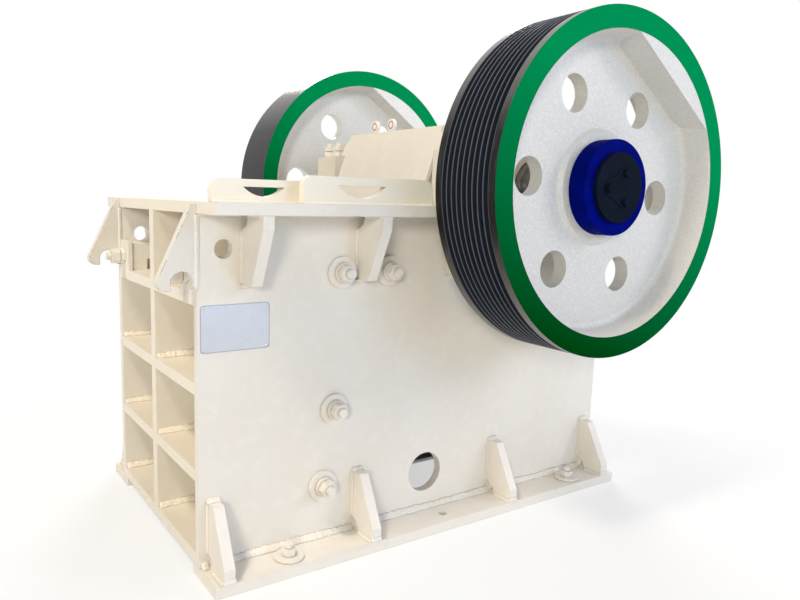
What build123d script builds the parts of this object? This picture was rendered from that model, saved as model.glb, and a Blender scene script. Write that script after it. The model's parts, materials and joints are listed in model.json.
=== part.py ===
from build123d import *
from math import cos, radians, sin, sqrt, tan
import os

os.makedirs("parts", exist_ok=True)

# A jaw crusher, in millimetres. X runs from the ribbed feed end to the rear,
# Y across the machine with the grooved sheave at -Y, Z up from the underside of the feet.
# The origin is the centre of the four outer foundation bolts.

# welded frame
frame_width = 972.0          # over the outer faces of the side plates
side_thickness = 36.0
foot_thickness = 40.0
foot_overhang = 149.0        # outside the side plate
foot_inset = 60.0            # inside the outer face of the side plate
side_height = 1207.0         # from the foot plate to the top flange
flange_thickness = 39.0
flange_overhang = 169.0
flange_inset = 76.0

# ribbed feed end
cell_depth = 300.0
wall_thickness = 50.0
rib_thickness = 40.0
center_rib_thickness = 50.0
rib_count = 3

# gussets outside the side plates
gusset_thickness = 40.0
top_gusset_height = 234.0
top_gusset_toe = 76.0
top_gusset_lip = 42.0
top_gusset_margin = 5.0
top_gusset_x = (175.0, 630.0, 1065.0)
rear_top_gusset_margin = 195.0       # from the frame's rear end
foot_gusset_height = 232.0
foot_gusset_toe = 50.0
foot_gusset_lip = 50.0
foot_gusset_margin = 3.0
foot_gusset_x = (50.0, 634.0, 1341.0)
rear_foot_gusset_margin = 60.0
scallop_radius = 48.0

# lifting and handling features
lift_hole_x = 90.0
lift_hole_drop = 114.0       # below the top flange
lift_hole_radius = 32.0
hook_reach = 131.0
hook_top_rise = 28.0         # above the underside of the flange, in front of it
hook_top_length = 18.0
hook_lobe_radius = 26.0
hook_notch_radius = 37.0
hook_notch_x = -50.0
hook_notch_rise = 24.0       # above the hook's lower edge
hook_root_drop = 245.0
sling_thickness = 28.0
sling_corner = 34.0
front_sling_start = 20.0
front_sling_length = 330.0
front_sling_height = 74.0
front_sling_offset = 74.0    # outer face, measured from the side plate
front_sling_hole = (146.0, 30.0)
front_sling_hole_x = 200.0
front_sling_hole_drop = 24.0
rear_sling_start = 306.0
rear_sling_length = 532.0
rear_sling_height = 92.0
rear_sling_offset = 144.0
rear_sling_hole = (192.0, 41.0)
rear_sling_hole_x = 534.0
rear_sling_hole_drop = 30.0

# inspection hole, foot holes
inspection_x = 968.0
inspection_z = 197.0
inspection_radius = 82.0
foot_hole_radius = 18.0
foot_hole_offset = 82.0      # outside the side plate
foot_hole_x = (300.0, 1007.0)
rear_foot_hole_margin = 245.0

# cheek plates and their bolts
cheek_thickness = 60.0
upper_cheek_bolts = ((545.0, 207.0), (754.0, 209.0))   # X, drop from the top flange
lower_cheek_bolts = ((523.0, 491.0), (479.0, 201.0))   # X, rise from the foot plate
cheek_split_z = 660.0
cheek_split_gap = 4.0
cheek_reach = (40.0, 120.0)  # lower and upper plate, behind the swing jaw's face
cheek_top_gap = 5.0          # below the top flange
cheek_bottom_z = 90.0
washer_radius = 58.0
washer_thickness = 14.0
nut_step_radius = 36.0
nut_step_thickness = 16.0
nut_across_flats = 56.0
nut_thickness = 30.0
stud_radius = 17.0
stud_stick_out = 16.0
stud_hole_radius = 19.0

# fixed jaw plate
jaw_plate_body = 62.0
tooth_depth = 26.0
tooth_pitch = 78.0
tooth_tip = 16.0
tooth_root = 16.0
fixed_jaw_bottom_z = 82.0
fixed_jaw_drop = 15.0        # below the top flange
jaw_side_gap = 15.0          # between the swing jaw and the cheek plates

# shaft and swing jaw
jaw_gape = 507.0             # between the tooth tips at the height of the feed opening
gape_rise = 3.0              # of that height above the flange's underside
shaft_from_face = 478.0
shaft_rise = 83.0            # above the top flange
shaft_to_rear = 572.0
eccentricity = 15.0
eccentric_direction = -123.0  # degrees from +X towards +Z
eccentric_radius = 132.0
journal_radius = 110.0
shaft_end_radius = 92.0
shaft_step = 40.0            # the journals end this far outside the housings
running_gap = 0.08
seat_gap = 0.1
jaw_head_radius = 243.0
jaw_head_gap = 20.0          # between the swing jaw's head and the bearing housings
jaw_head_relief = 8.0
jaw_angle = 19.5             # of the swing jaw's face, from upright
moving_plate_bottom_z = 92.0
moving_plate_length = 1155.0
jaw_clamp_height = 84.0
jaw_clamp_taper = 30.0
jaw_shoulder_height = 150.0
jaw_foot_drop = 14.0
jaw_front_wall = 45.0
jaw_web_thickness = 45.0
jaw_web_knees = ((508.0, 303.0), (978.0, 402.0))   # height and depth from the foot of the teeth
jaw_pocket_floor = 340.0     # height above the foot of the teeth
head_front_angle = 128.0     # where the head's barrel meets the front wall and the webs
head_rear_angle = -52.0
guard_margin = 24.0          # each side, inside the swing jaw
guard_thickness = 16.0
guard_depth = 27.0           # behind the tooth tips
guard_gap = 6.0              # above the clamp bar
guard_height = 379.0
guard_foot_start = 20.0
guard_foot_height = 60.0
guard_ear_reach = 27.0       # each side, beyond the guard's width
guard_ear_low = 100.0        # below the guard's top edge
guard_ear_high = (44.0, 26.0)    # at its tip and at the guard's side

# bearing housings
housing_width = 168.0
housing_reach = 393.0        # each way from the shaft
housing_lug_height = 224.0
housing_lug_length = 92.0
housing_radius = 250.0
housing_seat_radius = 228.0  # round seat in the side plate
housing_base_height = 90.0
housing_bolt_spacing = 90.0
housing_bolt_radius = 17.0
housing_washer = (30.0, 6.0)         # radius, thickness
housing_nut = (50.0, 22.0)           # across flats, height
housing_nut_gap = 3.0
housing_stud_tip = 15.0
cover_radius = 190.0
cover_thickness = 16.0
cover_bore_gap = 3.0
inner_cover_thickness = 6.0

# wheels
wheel_radius = 631.0
wheel_gap = 215.6            # from the side plate to the inner side of each wheel
sheave_width = 298.0
flywheel_width = 283.0
rim_thickness = 79.0
rim_draft = 14.0             # the recess narrows by this towards the web
sheave_web_depth = 115.0     # from the outer side of the rim
flywheel_web_depth = 121.0   # from the inner side of the rim
web_thickness = 58.0
web_fillet = 24.0
hub_radius = 205.0
hub_draft = 14.0
sheave_hub_heights = (15.0, 70.0)    # above the web, on the bolted side and on the inner side
flywheel_hub_heights = (12.0, 20.0)
web_hole_radius = 69.0
web_hole_from_hub = 162.0    # hole centres outside the hub's edge
web_hole_count = 6
web_hole_phase = 55.2
weight_depth = 75.0          # of the segment weight, inside the rim
weight_direction = 56.0
groove_count = 9
groove_pitch = 26.0
groove_depth = 20.0
groove_top_width = 22.0
groove_floor_width = 8.0
lock_ring_radius = 176.0
lock_ring_length = 73.0
lock_ring_chamfer = 3.0
cap_radius = 128.0
cap_thickness = 15.0
shaft_end_inset = 8.0        # the shaft ends this far inside each lock ring

# toggle and tension gear
toggle_front_up = 215.0      # along the swing jaw's face from its foot, and behind the tooth tips
toggle_front_back = 217.8
toggle_rear_z = 318.0
toggle_thickness = 56.0
toggle_margin = 65.0         # each side, inside the swing jaw
toggle_head_radius = 42.0
toggle_running_gap = 21.0    # open pivot at the swing jaw, more than the eccentricity
socket_upper_lip = (40.0, 110.0)     # outline points from the centre of the jaw's toggle socket
socket_lower_lip = (-10.0, -90.0)
jaw_heel = (-40.0, -160.0)
seat_length = 140.0          # from the toggle's rear head to the shims
seat_height = 170.0
seat_lip = 4.0
seat_margin = 30.0
shim_total = 60.0
shim_count = 3
shim_margin = 20.0
shim_drop = 10.0
shim_rise = 40.0
rear_beam_margin = 495.0     # from the beam's front to the frame's end
rear_beam_depth = 260.0
rear_beam_bottom_z = 60.0
rear_beam_top_z = 640.0
beam_wall = 40.0
beam_rib_thickness = 30.0
beam_rib_inset = 10.0
beam_rod_zone = 90.0
rod_radius = 24.0
rod_clearance = 12.0
rod_z = 128.0
rod_from_toggle_side = 110.0
rod_front_gap = 38.0         # behind the toggle's front head
rod_tail = 120.0
spring_radius = 62.0
spring_wire = 11.0
spring_turns = 6
spring_length = 110.0
spring_seat_rim = 10.0
spring_seat_thickness = 20.0
rod_nut = (76.0, 60.0)       # across flats, height

# grease caps on the guard, and the wedge bolts of the cheek plates
grease_cap_y = (20.0, 152.0)
grease_cap_radius = 27.0
grease_cap_length = 14.0
grease_cap_rise = 28.0
grease_stem = (10.0, 30.0)   # along X, along Y
bracket_length = 120.0
bracket_width = 124.0
bracket_height = 122.0
bracket_face_thickness = 17.0
bracket_step = 9.0           # the box stands in from its face plate, at its top and at its side
bracket_slot = (80.0, 17.0, 4.0, 42.0)   # from the front, length, above the rib, height
wedge_bolt_height = 58.0
wedge_bolt_radius = 17.0
wedge_bolt_reach = 74.0
wedge_nut_width = 54.0
wedge_nuts = ((0.0, 20.0), (22.0, 34.0))     # distance before the bracket, height

# the frame's own lines, measured from its feed end and its near side
near_face = -frame_width / 2              # outer face of the near side plate
inner_face = near_face + side_thickness
cheek_face = inner_face + cheek_thickness
flange_z = foot_thickness + side_height
deck_z = flange_z + flange_thickness
rib_pitch = side_height / (rib_count + 1)
rib_z = [foot_thickness + rib_pitch * (n + 1) for n in range(rib_count)]
wall_back = cell_depth + wall_thickness
plate_depth = jaw_plate_body + tooth_depth
jaw_face_x = wall_back + plate_depth + jaw_gape
jaw_face_z = flange_z + gape_rise
shaft_x = jaw_face_x + shaft_from_face
shaft_z = deck_z + shaft_rise
frame_length = shaft_x + shaft_to_rear
foot_hole_places = foot_hole_x + (frame_length - rear_foot_hole_margin,)
top_gusset_places = top_gusset_x + (frame_length - rear_top_gusset_margin,)
foot_gusset_places = foot_gusset_x + (frame_length - rear_foot_gusset_margin,)
cheek_bolts = [(x, flange_z - drop) for x, drop in upper_cheek_bolts]
cheek_bolts += [(x, foot_thickness + rise) for x, rise in lower_cheek_bolts]
lift_hole_z = flange_z - lift_hole_drop
hook_root_z = flange_z - hook_root_drop
hook_notch_z = hook_root_z + hook_notch_rise

# everything is carried to the centre of the outer foundation bolts
x_shift = -(foot_hole_places[0] + foot_hole_places[-1]) / 2


def on_face(up, back):
    """A point by its height along the swing jaw's face and its depth behind the tips of the teeth."""
    a = radians(jaw_angle)
    foot_x = jaw_face_x + (moving_plate_bottom_z - jaw_face_z) * tan(a)
    return (foot_x + up * sin(a) + back * cos(a), moving_plate_bottom_z + up * cos(a) - back * sin(a))


# housings, swing jaw, wheels and toggle gear
housing_front_x = shaft_x - housing_reach
housing_lug_z = deck_z + housing_lug_height
housing_outer = near_face + (side_thickness - housing_width) / 2
housing_inner = housing_outer + housing_width
swing_jaw_width = -2 * cheek_face - 2 * jaw_side_gap
jaw_head_width = -2 * housing_inner - 2 * jaw_head_gap
ecc_x = shaft_x + eccentricity * cos(radians(eccentric_direction))
ecc_z = shaft_z + eccentricity * sin(radians(eccentric_direction))
clamp_top = moving_plate_length + jaw_clamp_height
guard_width = swing_jaw_width - 2 * guard_margin
guard_low = clamp_top + guard_gap
guard_top_x, guard_top_z = on_face(guard_low + guard_height, guard_depth)
guard_level_thickness = guard_thickness / cos(radians(jaw_angle))
rim_inner_radius = wheel_radius - rim_thickness
sheave_back = near_face - wheel_gap
sheave_front = sheave_back - sheave_width
sheave_web = sheave_front + sheave_web_depth
sheave_hub = sheave_web - sheave_hub_heights[0]
flywheel_front = wheel_gap - near_face
flywheel_back = flywheel_front + flywheel_width
flywheel_web = flywheel_front + flywheel_web_depth + web_thickness
flywheel_hub = flywheel_web + flywheel_hub_heights[0]
rear_beam_front = frame_length - rear_beam_margin
rear_beam_back = rear_beam_front + rear_beam_depth
seat_back = rear_beam_front - shim_total
toggle_width = swing_jaw_width - 2 * toggle_margin
toggle_front = on_face(toggle_front_up, toggle_front_back)
toggle_rear = (seat_back - seat_length, toggle_rear_z)
socket_x = toggle_front[0] + ecc_x - shaft_x   # the jaw's socket circles round the toggle's front head
socket_z = toggle_front[1] + ecc_z - shaft_z
rod_y_place = rod_from_toggle_side - toggle_width / 2
spring_front = rear_beam_back + spring_seat_thickness
spring_back = spring_front + spring_length
wedge_y = inner_face + bracket_width / 2
bracket_z = rib_z[-1] + rib_thickness
wedge_z = bracket_z + wedge_bolt_height


def slab(x0, x1, y0, y1, z0, z1):
    """A rectangular block between two corners, X measured from the feed end."""
    middle = ((x0 + x1) / 2 + x_shift, (y0 + y1) / 2, (z0 + z1) / 2)
    return Pos(*middle) * Box(x1 - x0, y1 - y0, z1 - z0)


def counter_clockwise(points):
    """The same outline points, in counter-clockwise order."""
    area = sum(a[0] * b[1] - b[0] * a[1] for a, b in zip(points, points[1:] + points[:1]))
    return points if area > 0 else points[::-1]


def side_outline(points):
    """A flat outline in X and Z, X measured from the feed end."""
    return Polygon(*counter_clockwise([(x + x_shift, z) for x, z in points]), align=None)


def disc(x, z, radius):
    """A flat disc in X and Z, X measured from the feed end."""
    return Pos(x + x_shift, z) * Circle(radius)


def across(outline, y0, y1):
    """A flat outline in X and Z, extruded from y0 up to y1."""
    plane = Plane((0, y1, 0), x_dir=(1, 0, 0), z_dir=(0, -1, 0))
    return extrude(plane * outline, amount=y1 - y0, dir=(0, -1, 0))


def rod_y(x, z, radius, y0, y1):
    """A round bar along Y."""
    return Pos(x + x_shift, (y0 + y1) / 2, z) * Rot(90, 0, 0) * Cylinder(radius, y1 - y0)


def rod_x(y, z, radius, x0, x1):
    """A round bar along X."""
    return Pos((x0 + x1) / 2 + x_shift, y, z) * Rot(0, 90, 0) * Cylinder(radius, x1 - x0)


def standing(radius, height):
    """A round bar standing on the ground plane."""
    return Cylinder(radius, height, align=(Align.CENTER, Align.CENTER, Align.MIN))


def hex_nut(flats, height):
    """A hexagonal nut standing on the ground plane."""
    return extrude(RegularPolygon(flats / sqrt(3), 6), amount=height)


def both_sides(shape):
    """The shape and its mirror image across the machine."""
    return [shape, mirror(shape, about=Plane.XZ)]


def save(name, shapes):
    """Write one node, from one solid or several that don't touch."""
    solids = shapes if isinstance(shapes, list) else [shapes]
    parts = [solid for shape in solids for solid in shape.solids()]
    export_step(parts[0] if len(parts) == 1 else Compound(children=parts), f"parts/{name}.step")


def make_side_plate():
    """Full side plate with its lifting hole, inspection hole and cheek bolt holes."""
    plate = slab(0, frame_length, near_face, inner_face, foot_thickness, flange_z)
    holes = [(lift_hole_x, lift_hole_z, lift_hole_radius), (inspection_x, inspection_z, inspection_radius),
             (shaft_x, shaft_z, housing_seat_radius + seat_gap)]
    holes += [(x, z, stud_hole_radius) for x, z in cheek_bolts]
    for x, z, radius in holes:
        plate -= rod_y(x, z, radius, near_face - 1, inner_face + 1)
    return plate


def make_foot_plate():
    """Foot strip under the side plate, with its three holes."""
    plate = slab(0, frame_length, near_face - foot_overhang, near_face + foot_inset, 0, foot_thickness)
    y = near_face - foot_hole_offset
    for x in foot_hole_places:
        plate -= Pos(x + x_shift, y, 0) * standing(foot_hole_radius, foot_thickness)
    return plate


def make_top_flange():
    """Top flange over the side plate, cut out round the bearing housing's seat."""
    outer = near_face - flange_overhang
    inner = near_face + flange_inset
    flange = slab(0, frame_length, outer, inner, flange_z, deck_z)
    return flange - rod_y(shaft_x, shaft_z, housing_seat_radius + seat_gap, outer - 1, inner + 1)


def make_gusset(x, points, corner):
    """A gusset plate across the machine, centred on x, with a scallop at its weld corner."""
    plane = Plane((x - gusset_thickness / 2 + x_shift, 0, 0), x_dir=(0, 1, 0), z_dir=(1, 0, 0))
    outline = Polygon(*counter_clockwise(points), align=None) - Pos(*corner) * Circle(scallop_radius)
    return extrude(plane * outline, amount=gusset_thickness, dir=(1, 0, 0))


def make_top_gusset(x):
    """Tapered gusset under the top flange."""
    outer = near_face - flange_overhang + top_gusset_margin
    points = [(near_face, flange_z), (outer, flange_z), (outer, flange_z - top_gusset_lip),
              (near_face - top_gusset_toe, flange_z - top_gusset_height),
              (near_face, flange_z - top_gusset_height)]
    return make_gusset(x, points, (near_face, flange_z))


def make_foot_gusset(x):
    """Trapezoid gusset on the foot plate."""
    outer = near_face - foot_overhang + foot_gusset_margin
    top = foot_thickness + foot_gusset_height
    points = [(near_face, foot_thickness), (outer, foot_thickness), (outer, foot_thickness + foot_gusset_lip),
              (near_face - foot_gusset_toe, top), (near_face, top)]
    return make_gusset(x, points, (near_face, foot_thickness))


def make_hook_plate():
    """Hook at the feed end with a round lobe, open downwards at its notch."""
    top = flange_z + hook_top_rise
    lobe = disc(hook_lobe_radius - hook_reach, hook_root_z + hook_lobe_radius, hook_lobe_radius)
    root = side_outline([(0, top), (-hook_top_length, top),
                         (-hook_top_length, hook_root_z), (0, hook_root_z)])
    outline = make_hull(lobe.edges() + root.edges())
    low = hook_root_z - hook_notch_radius
    x0, x1 = hook_notch_x - hook_notch_radius, hook_notch_x + hook_notch_radius
    mouth = side_outline([(x0, hook_notch_z), (x1, hook_notch_z), (x1, low), (x0, low)])
    notch = disc(hook_notch_x, hook_notch_z, hook_notch_radius)
    return across(outline - notch - mouth, near_face, inner_face)


def half_moon(width, depth):
    """A flat-topped slot with a round bottom, its top edge centred on the origin."""
    radius = (width * width / 4 + depth * depth) / (2 * depth)
    return (Pos(0, radius - depth) * Circle(radius)) & (Pos(0, -depth) * Rectangle(width + 2, 2 * depth))


def make_sling_plate(start, length, height, offset, hole, hole_x, hole_drop, round_rear):
    """Upright plate on the top flange with a half-moon sling hole."""
    corners = side_outline([(start, deck_z), (start + length, deck_z), (start + length, deck_z + height),
                            (start, deck_z + height)])
    tops = corners.vertices().filter_by(lambda v: v.Y > deck_z + height / 2).sort_by(Axis.X)
    outline = fillet(tops if round_rear else tops[0], sling_corner)
    outline -= Pos(hole_x + x_shift, deck_z + height - hole_drop) * half_moon(*hole)
    outer = near_face - offset
    return across(outline, outer, outer + sling_thickness)


def make_cheek_plates():
    """Upper and lower cheek liners inside the near side plate."""
    def swing_face(z):
        return jaw_face_x + (z - jaw_face_z) * tan(radians(jaw_angle))
    half_gap = cheek_split_gap / 2
    plates = []
    for low, high, reach in ((cheek_bottom_z, cheek_split_z - half_gap, cheek_reach[0]),
                             (cheek_split_z + half_gap, flange_z - cheek_top_gap, cheek_reach[1])):
        outline = side_outline([(wall_back, low), (swing_face(low) + reach, low),
                                (swing_face(high) + reach, high), (wall_back, high)])
        plates.append(across(outline, inner_face, cheek_face))
    for x, z in cheek_bolts:
        bore = rod_y(x, z, stud_hole_radius, inner_face - 1, cheek_face + 1)
        plates = [plate - bore for plate in plates]
    return plates


def make_cheek_bolt(x, z):
    """Stud with a large washer, a stepped nut and a hexagonal nut outside the side plate."""
    face = near_face
    stack = rod_y(x, z, washer_radius, face - washer_thickness, face)
    face -= washer_thickness
    stack += rod_y(x, z, nut_step_radius, face - nut_step_thickness, face)
    face -= nut_step_thickness
    stack += Pos(x + x_shift, face, z) * Rot(90, 0, 0) * hex_nut(nut_across_flats, nut_thickness)
    tip = face - nut_thickness - stud_stick_out
    return stack + rod_y(x, z, stud_radius, tip, cheek_face - seat_gap)


def toothed_outline(width):
    """Cross-section of a toothed jaw plate: width along X, teeth towards +Y."""
    count = int(width // tooth_pitch)
    flank = (tooth_pitch - tooth_tip - tooth_root) / 2
    tips = jaw_plate_body + tooth_depth
    points = [(-width / 2, 0), (-width / 2, jaw_plate_body)]
    for n in range(count):
        left = (n - count / 2) * tooth_pitch + tooth_root / 2
        points += [(left, jaw_plate_body), (left + flank, tips), (left + flank + tooth_tip, tips),
                   (left + 2 * flank + tooth_tip, jaw_plate_body)]
    points += [(width / 2, jaw_plate_body), (width / 2, 0)]
    return Polygon(*counter_clockwise(points), align=None)


def make_fixed_jaw_plate():
    """Upright toothed plate on the front wall."""
    plane = Plane((wall_back + x_shift, 0, fixed_jaw_bottom_z), x_dir=(0, -1, 0), z_dir=(0, 0, 1))
    return extrude(plane * toothed_outline(-2 * cheek_face - 2 * seat_gap),
                   amount=flange_z - fixed_jaw_drop - fixed_jaw_bottom_z, dir=(0, 0, 1))


def on_head(angle):
    """A point on the rim of the swing jaw's barrel."""
    return (ecc_x + jaw_head_radius * cos(radians(angle)), ecc_z + jaw_head_radius * sin(radians(angle)))


def from_socket(offset):
    """A point by its offset from the centre of the swing jaw's toggle socket."""
    return (socket_x + offset[0], socket_z + offset[1])


def make_moving_jaw_plate():
    """Toothed plate on the face of the swing jaw."""
    x, z = on_face(0, plate_depth)
    up = (sin(radians(jaw_angle)), 0, cos(radians(jaw_angle)))
    plane = Plane((x + x_shift, 0, z), x_dir=(0, 1, 0), z_dir=up)
    return extrude(plane * toothed_outline(swing_jaw_width), amount=moving_plate_length, dir=up)


def make_swing_jaw():
    """Casting: front wall, bored barrel and toggle socket, joined by four upright webs open to the rear."""
    half = swing_jaw_width / 2
    wall_depth = plate_depth + jaw_front_wall
    lower_knee, upper_knee = jaw_web_knees
    points = [on_face(-jaw_foot_drop, plate_depth), on_face(clamp_top + jaw_shoulder_height, plate_depth),
              on_head(head_front_angle), (ecc_x, ecc_z), on_head(head_rear_angle), on_face(*upper_knee),
              on_face(*lower_knee), from_socket(socket_upper_lip), from_socket(socket_lower_lip),
              from_socket(jaw_heel)]
    socket = disc(socket_x, socket_z, toggle_head_radius + toggle_running_gap)
    barrel = disc(ecc_x, ecc_z, jaw_head_radius)
    body = across(side_outline(points) + barrel - socket, -half, half)

    behind = 2 * jaw_head_radius
    pocket = side_outline([on_face(jaw_pocket_floor, wall_depth), on_face(clamp_top, wall_depth),
                           (ecc_x, ecc_z), (ecc_x + behind, ecc_z - behind),
                           on_face(jaw_pocket_floor, wall_depth + behind)]) - barrel
    web_pitch = (swing_jaw_width - jaw_web_thickness) / 3
    for n in range(3):
        start = -half + jaw_web_thickness + n * web_pitch
        body -= across(pocket, start, start + web_pitch - jaw_web_thickness)

    for y0, y1 in ((-half - 1, -jaw_head_width / 2), (jaw_head_width / 2, half + 1)):
        body -= rod_y(ecc_x, ecc_z, jaw_head_radius + jaw_head_relief, y0, y1)
    return body - rod_y(ecc_x, ecc_z, eccentric_radius + running_gap, -half - 1, half + 1)


def make_head_guard():
    """Sloped plate over the front of the swing jaw's head, with a foot below and an ear at each side."""
    sheet = side_outline([on_face(guard_low, guard_depth), (guard_top_x, guard_top_z),
                          (guard_top_x + guard_level_thickness, guard_top_z),
                          on_face(guard_low, guard_depth + guard_thickness)])
    low = guard_low + guard_foot_start
    high = low + guard_foot_height
    middle = guard_depth + guard_thickness / 2
    foot = side_outline([on_face(low, middle), on_face(low, plate_depth), on_face(high, plate_depth),
                         on_face(high, middle)])
    half = guard_width / 2
    guard = across(sheet + foot, -half, half)

    # an ear is drawn flat across the machine, then cut out of the plate's own slope
    tip = half + guard_ear_reach
    low = guard_top_z - guard_ear_low
    tip_drop, root_drop = guard_ear_high
    ear = Plane.YZ * Polygon((half - 1, low), (tip, low), (tip, guard_top_z - tip_drop),
                             (half - 1, guard_top_z - root_drop), align=None)
    ears = extrude(ear, amount=frame_length, both=True) & across(sheet, half - 1, tip)
    return guard + ears + mirror(ears, about=Plane.XZ)


def make_jaw_clamp():
    """Wedge bar that holds the moving jaw plate at its top."""
    outline = side_outline([on_face(moving_plate_length, tooth_depth),
                            on_face(clamp_top, tooth_depth + jaw_clamp_taper),
                            on_face(clamp_top, plate_depth), on_face(moving_plate_length, plate_depth)])
    return across(outline, -swing_jaw_width / 2, swing_jaw_width / 2)


def make_housing():
    """Near bearing housing: a round barrel in the side plate's seat, between two tall bolted lugs."""
    rear_x = 2 * shaft_x - housing_front_x
    top = deck_z + 2 * housing_radius
    over = side_outline([(housing_front_x, deck_z), (rear_x, deck_z), (rear_x, top), (housing_front_x, top)])
    outline = disc(shaft_x, shaft_z, housing_radius) & over
    outline += disc(shaft_x, shaft_z, housing_seat_radius)
    for x0, x1, top in ((housing_front_x, housing_front_x + housing_lug_length, housing_lug_z),
                        (rear_x - housing_lug_length, rear_x, housing_lug_z),
                        (housing_front_x, rear_x, deck_z + housing_base_height)):
        outline += side_outline([(x0, deck_z), (x1, deck_z), (x1, top), (x0, top)])
    body = across(outline, housing_outer, housing_inner)
    return body - rod_y(shaft_x, shaft_z, journal_radius + running_gap, housing_outer - 1, housing_inner + 1)


def make_housing_bolts():
    """Two upright studs with a washer and two nuts on each lug of the near housing."""
    from_axis = shaft_x - housing_front_x - housing_lug_length / 2
    middle = (housing_outer + housing_inner) / 2
    lower_nut_z = housing_washer[1]
    upper_nut_z = lower_nut_z + housing_nut[1] + housing_nut_gap
    tip_z = upper_nut_z + housing_nut[1] + housing_stud_tip
    bolt = standing(*housing_washer)
    bolt += Pos(0, 0, lower_nut_z) * hex_nut(*housing_nut)
    bolt += Pos(0, 0, upper_nut_z) * hex_nut(*housing_nut)
    bolt += standing(housing_bolt_radius, tip_z)
    places = [(shaft_x + side * from_axis, middle + step * housing_bolt_spacing / 2)
              for side in (-1, 1) for step in (-1, 1)]
    return [Pos(x + x_shift, y, housing_lug_z) * bolt for x, y in places]


def make_housing_cover():
    """Ring cover on the outer face of the near bearing housing."""
    low = housing_outer - cover_thickness
    ring = rod_y(shaft_x, shaft_z, cover_radius, low, housing_outer)
    return ring - rod_y(shaft_x, shaft_z, journal_radius + cover_bore_gap, low - 1, housing_outer + 1)


def make_jaw_cover():
    """Ring cover on the near side of the swing jaw's head."""
    high = -jaw_head_width / 2
    low = high - inner_cover_thickness
    ring = rod_y(ecc_x, ecc_z, cover_radius, low, high)
    return ring - rod_y(ecc_x, ecc_z, eccentric_radius + running_gap, low - 1, high + 1)


def groove_points(y_start, direction):
    """Rim outline across the V-grooves, from one side band to the other."""
    points = []
    for n in range(groove_count):
        middle = y_start + direction * (n + 0.5) * groove_pitch
        points += [(wheel_radius, middle - direction * groove_top_width / 2),
                   (wheel_radius - groove_depth, middle - direction * groove_floor_width / 2),
                   (wheel_radius - groove_depth, middle + direction * groove_floor_width / 2),
                   (wheel_radius, middle + direction * groove_top_width / 2)]
    return points


def turned(outline):
    """A solid of revolution about the shaft axis, from a flat outline of radius and Y."""
    return Pos(shaft_x + x_shift, 0, shaft_z) * revolve(outline, axis=Axis.Y)


def recess_section(face_y, web_y):
    """Half-section of the room inside the rim, a little into its sloping wall, from the web to the face."""
    return Polygon(*counter_clockwise([(0, web_y), (rim_inner_radius - rim_draft + 1, web_y),
                                       (rim_inner_radius + 1, face_y), (0, face_y)]), align=None)


def make_wheel(front_y, back_y, web_y, hub_heights, weight_y, grooved):
    """Wheel with a recessed web and a segment weight. Front is the hub's bolted side."""
    step = 1 if back_y > front_y else -1
    web_back = web_y + step * web_thickness
    hub_front = web_y - step * hub_heights[0]
    hub_back = web_back + step * hub_heights[1]
    bore = shaft_end_radius + seat_gap
    rim_foot = rim_inner_radius - rim_draft
    hub_foot = hub_radius + hub_draft
    band = (abs(back_y - front_y) - groove_count * groove_pitch) / 2
    points = [(bore, hub_front), (hub_radius, hub_front), (hub_foot, web_y), (rim_foot, web_y),
              (rim_inner_radius, front_y), (wheel_radius, front_y)]
    points += groove_points(front_y + step * band, step) if grooved else []
    points += [(wheel_radius, back_y), (rim_inner_radius, back_y), (rim_foot, web_back),
               (hub_foot, web_back), (hub_radius, hub_back), (bore, hub_back)]
    outline = Polygon(*counter_clockwise(points), align=None)
    corners = outline.vertices().filter_by(lambda v: abs(v.X - rim_foot) < 1)
    wheel = turned(fillet(corners, web_fillet))

    chord = rim_inner_radius - weight_depth
    beyond = Pos(chord + weight_depth, 0) * Rectangle(2 * weight_depth, 2 * wheel_radius)
    segment = Rot(0, 0, weight_direction) * (Circle(rim_inner_radius) & beyond)
    weight = Pos(shaft_x + x_shift, shaft_z) * segment
    weight_foot = web_y + step if weight_y == front_y else web_back - step
    wheel += across(weight, *sorted((weight_y, weight_foot))) & turned(recess_section(weight_y, weight_foot))

    circle = hub_radius + web_hole_from_hub
    for n in range(web_hole_count):
        angle = radians(web_hole_phase + 360 / web_hole_count * n)
        wheel -= rod_y(shaft_x + circle * cos(angle), shaft_z + circle * sin(angle), web_hole_radius,
                       min(front_y, back_y), max(front_y, back_y))
    return wheel


def make_shaft():
    """Stepped shaft with its eccentric between the two housings."""
    half = jaw_head_width / 2 + inner_cover_thickness
    journal = housing_outer - shaft_step
    reach = lock_ring_length - shaft_end_inset
    shaft = rod_y(shaft_x, shaft_z, journal_radius, journal, -journal)
    shaft += rod_y(shaft_x, shaft_z, shaft_end_radius, sheave_hub - reach, flywheel_hub + reach)
    return shaft + rod_y(ecc_x, ecc_z, eccentric_radius, -half, half)


def make_lock_ring(hub_y, direction):
    """Round locking ring on the shaft's end, against the wheel's hub."""
    tip = hub_y + direction * lock_ring_length
    sides = sorted((hub_y, tip))
    ring = rod_y(shaft_x, shaft_z, lock_ring_radius, *sides)
    ring = chamfer(ring.edges().filter_by(GeomType.CIRCLE), lock_ring_chamfer)
    return ring - rod_y(shaft_x, shaft_z, shaft_end_radius + seat_gap, sides[0] - 1, sides[1] + 1)


def make_end_cap(hub_y, direction):
    """Round cap over the locking ring."""
    start = hub_y + direction * lock_ring_length
    sides = sorted((start, start + direction * cap_thickness))
    return rod_y(shaft_x, shaft_z, cap_radius, *sides)


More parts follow.
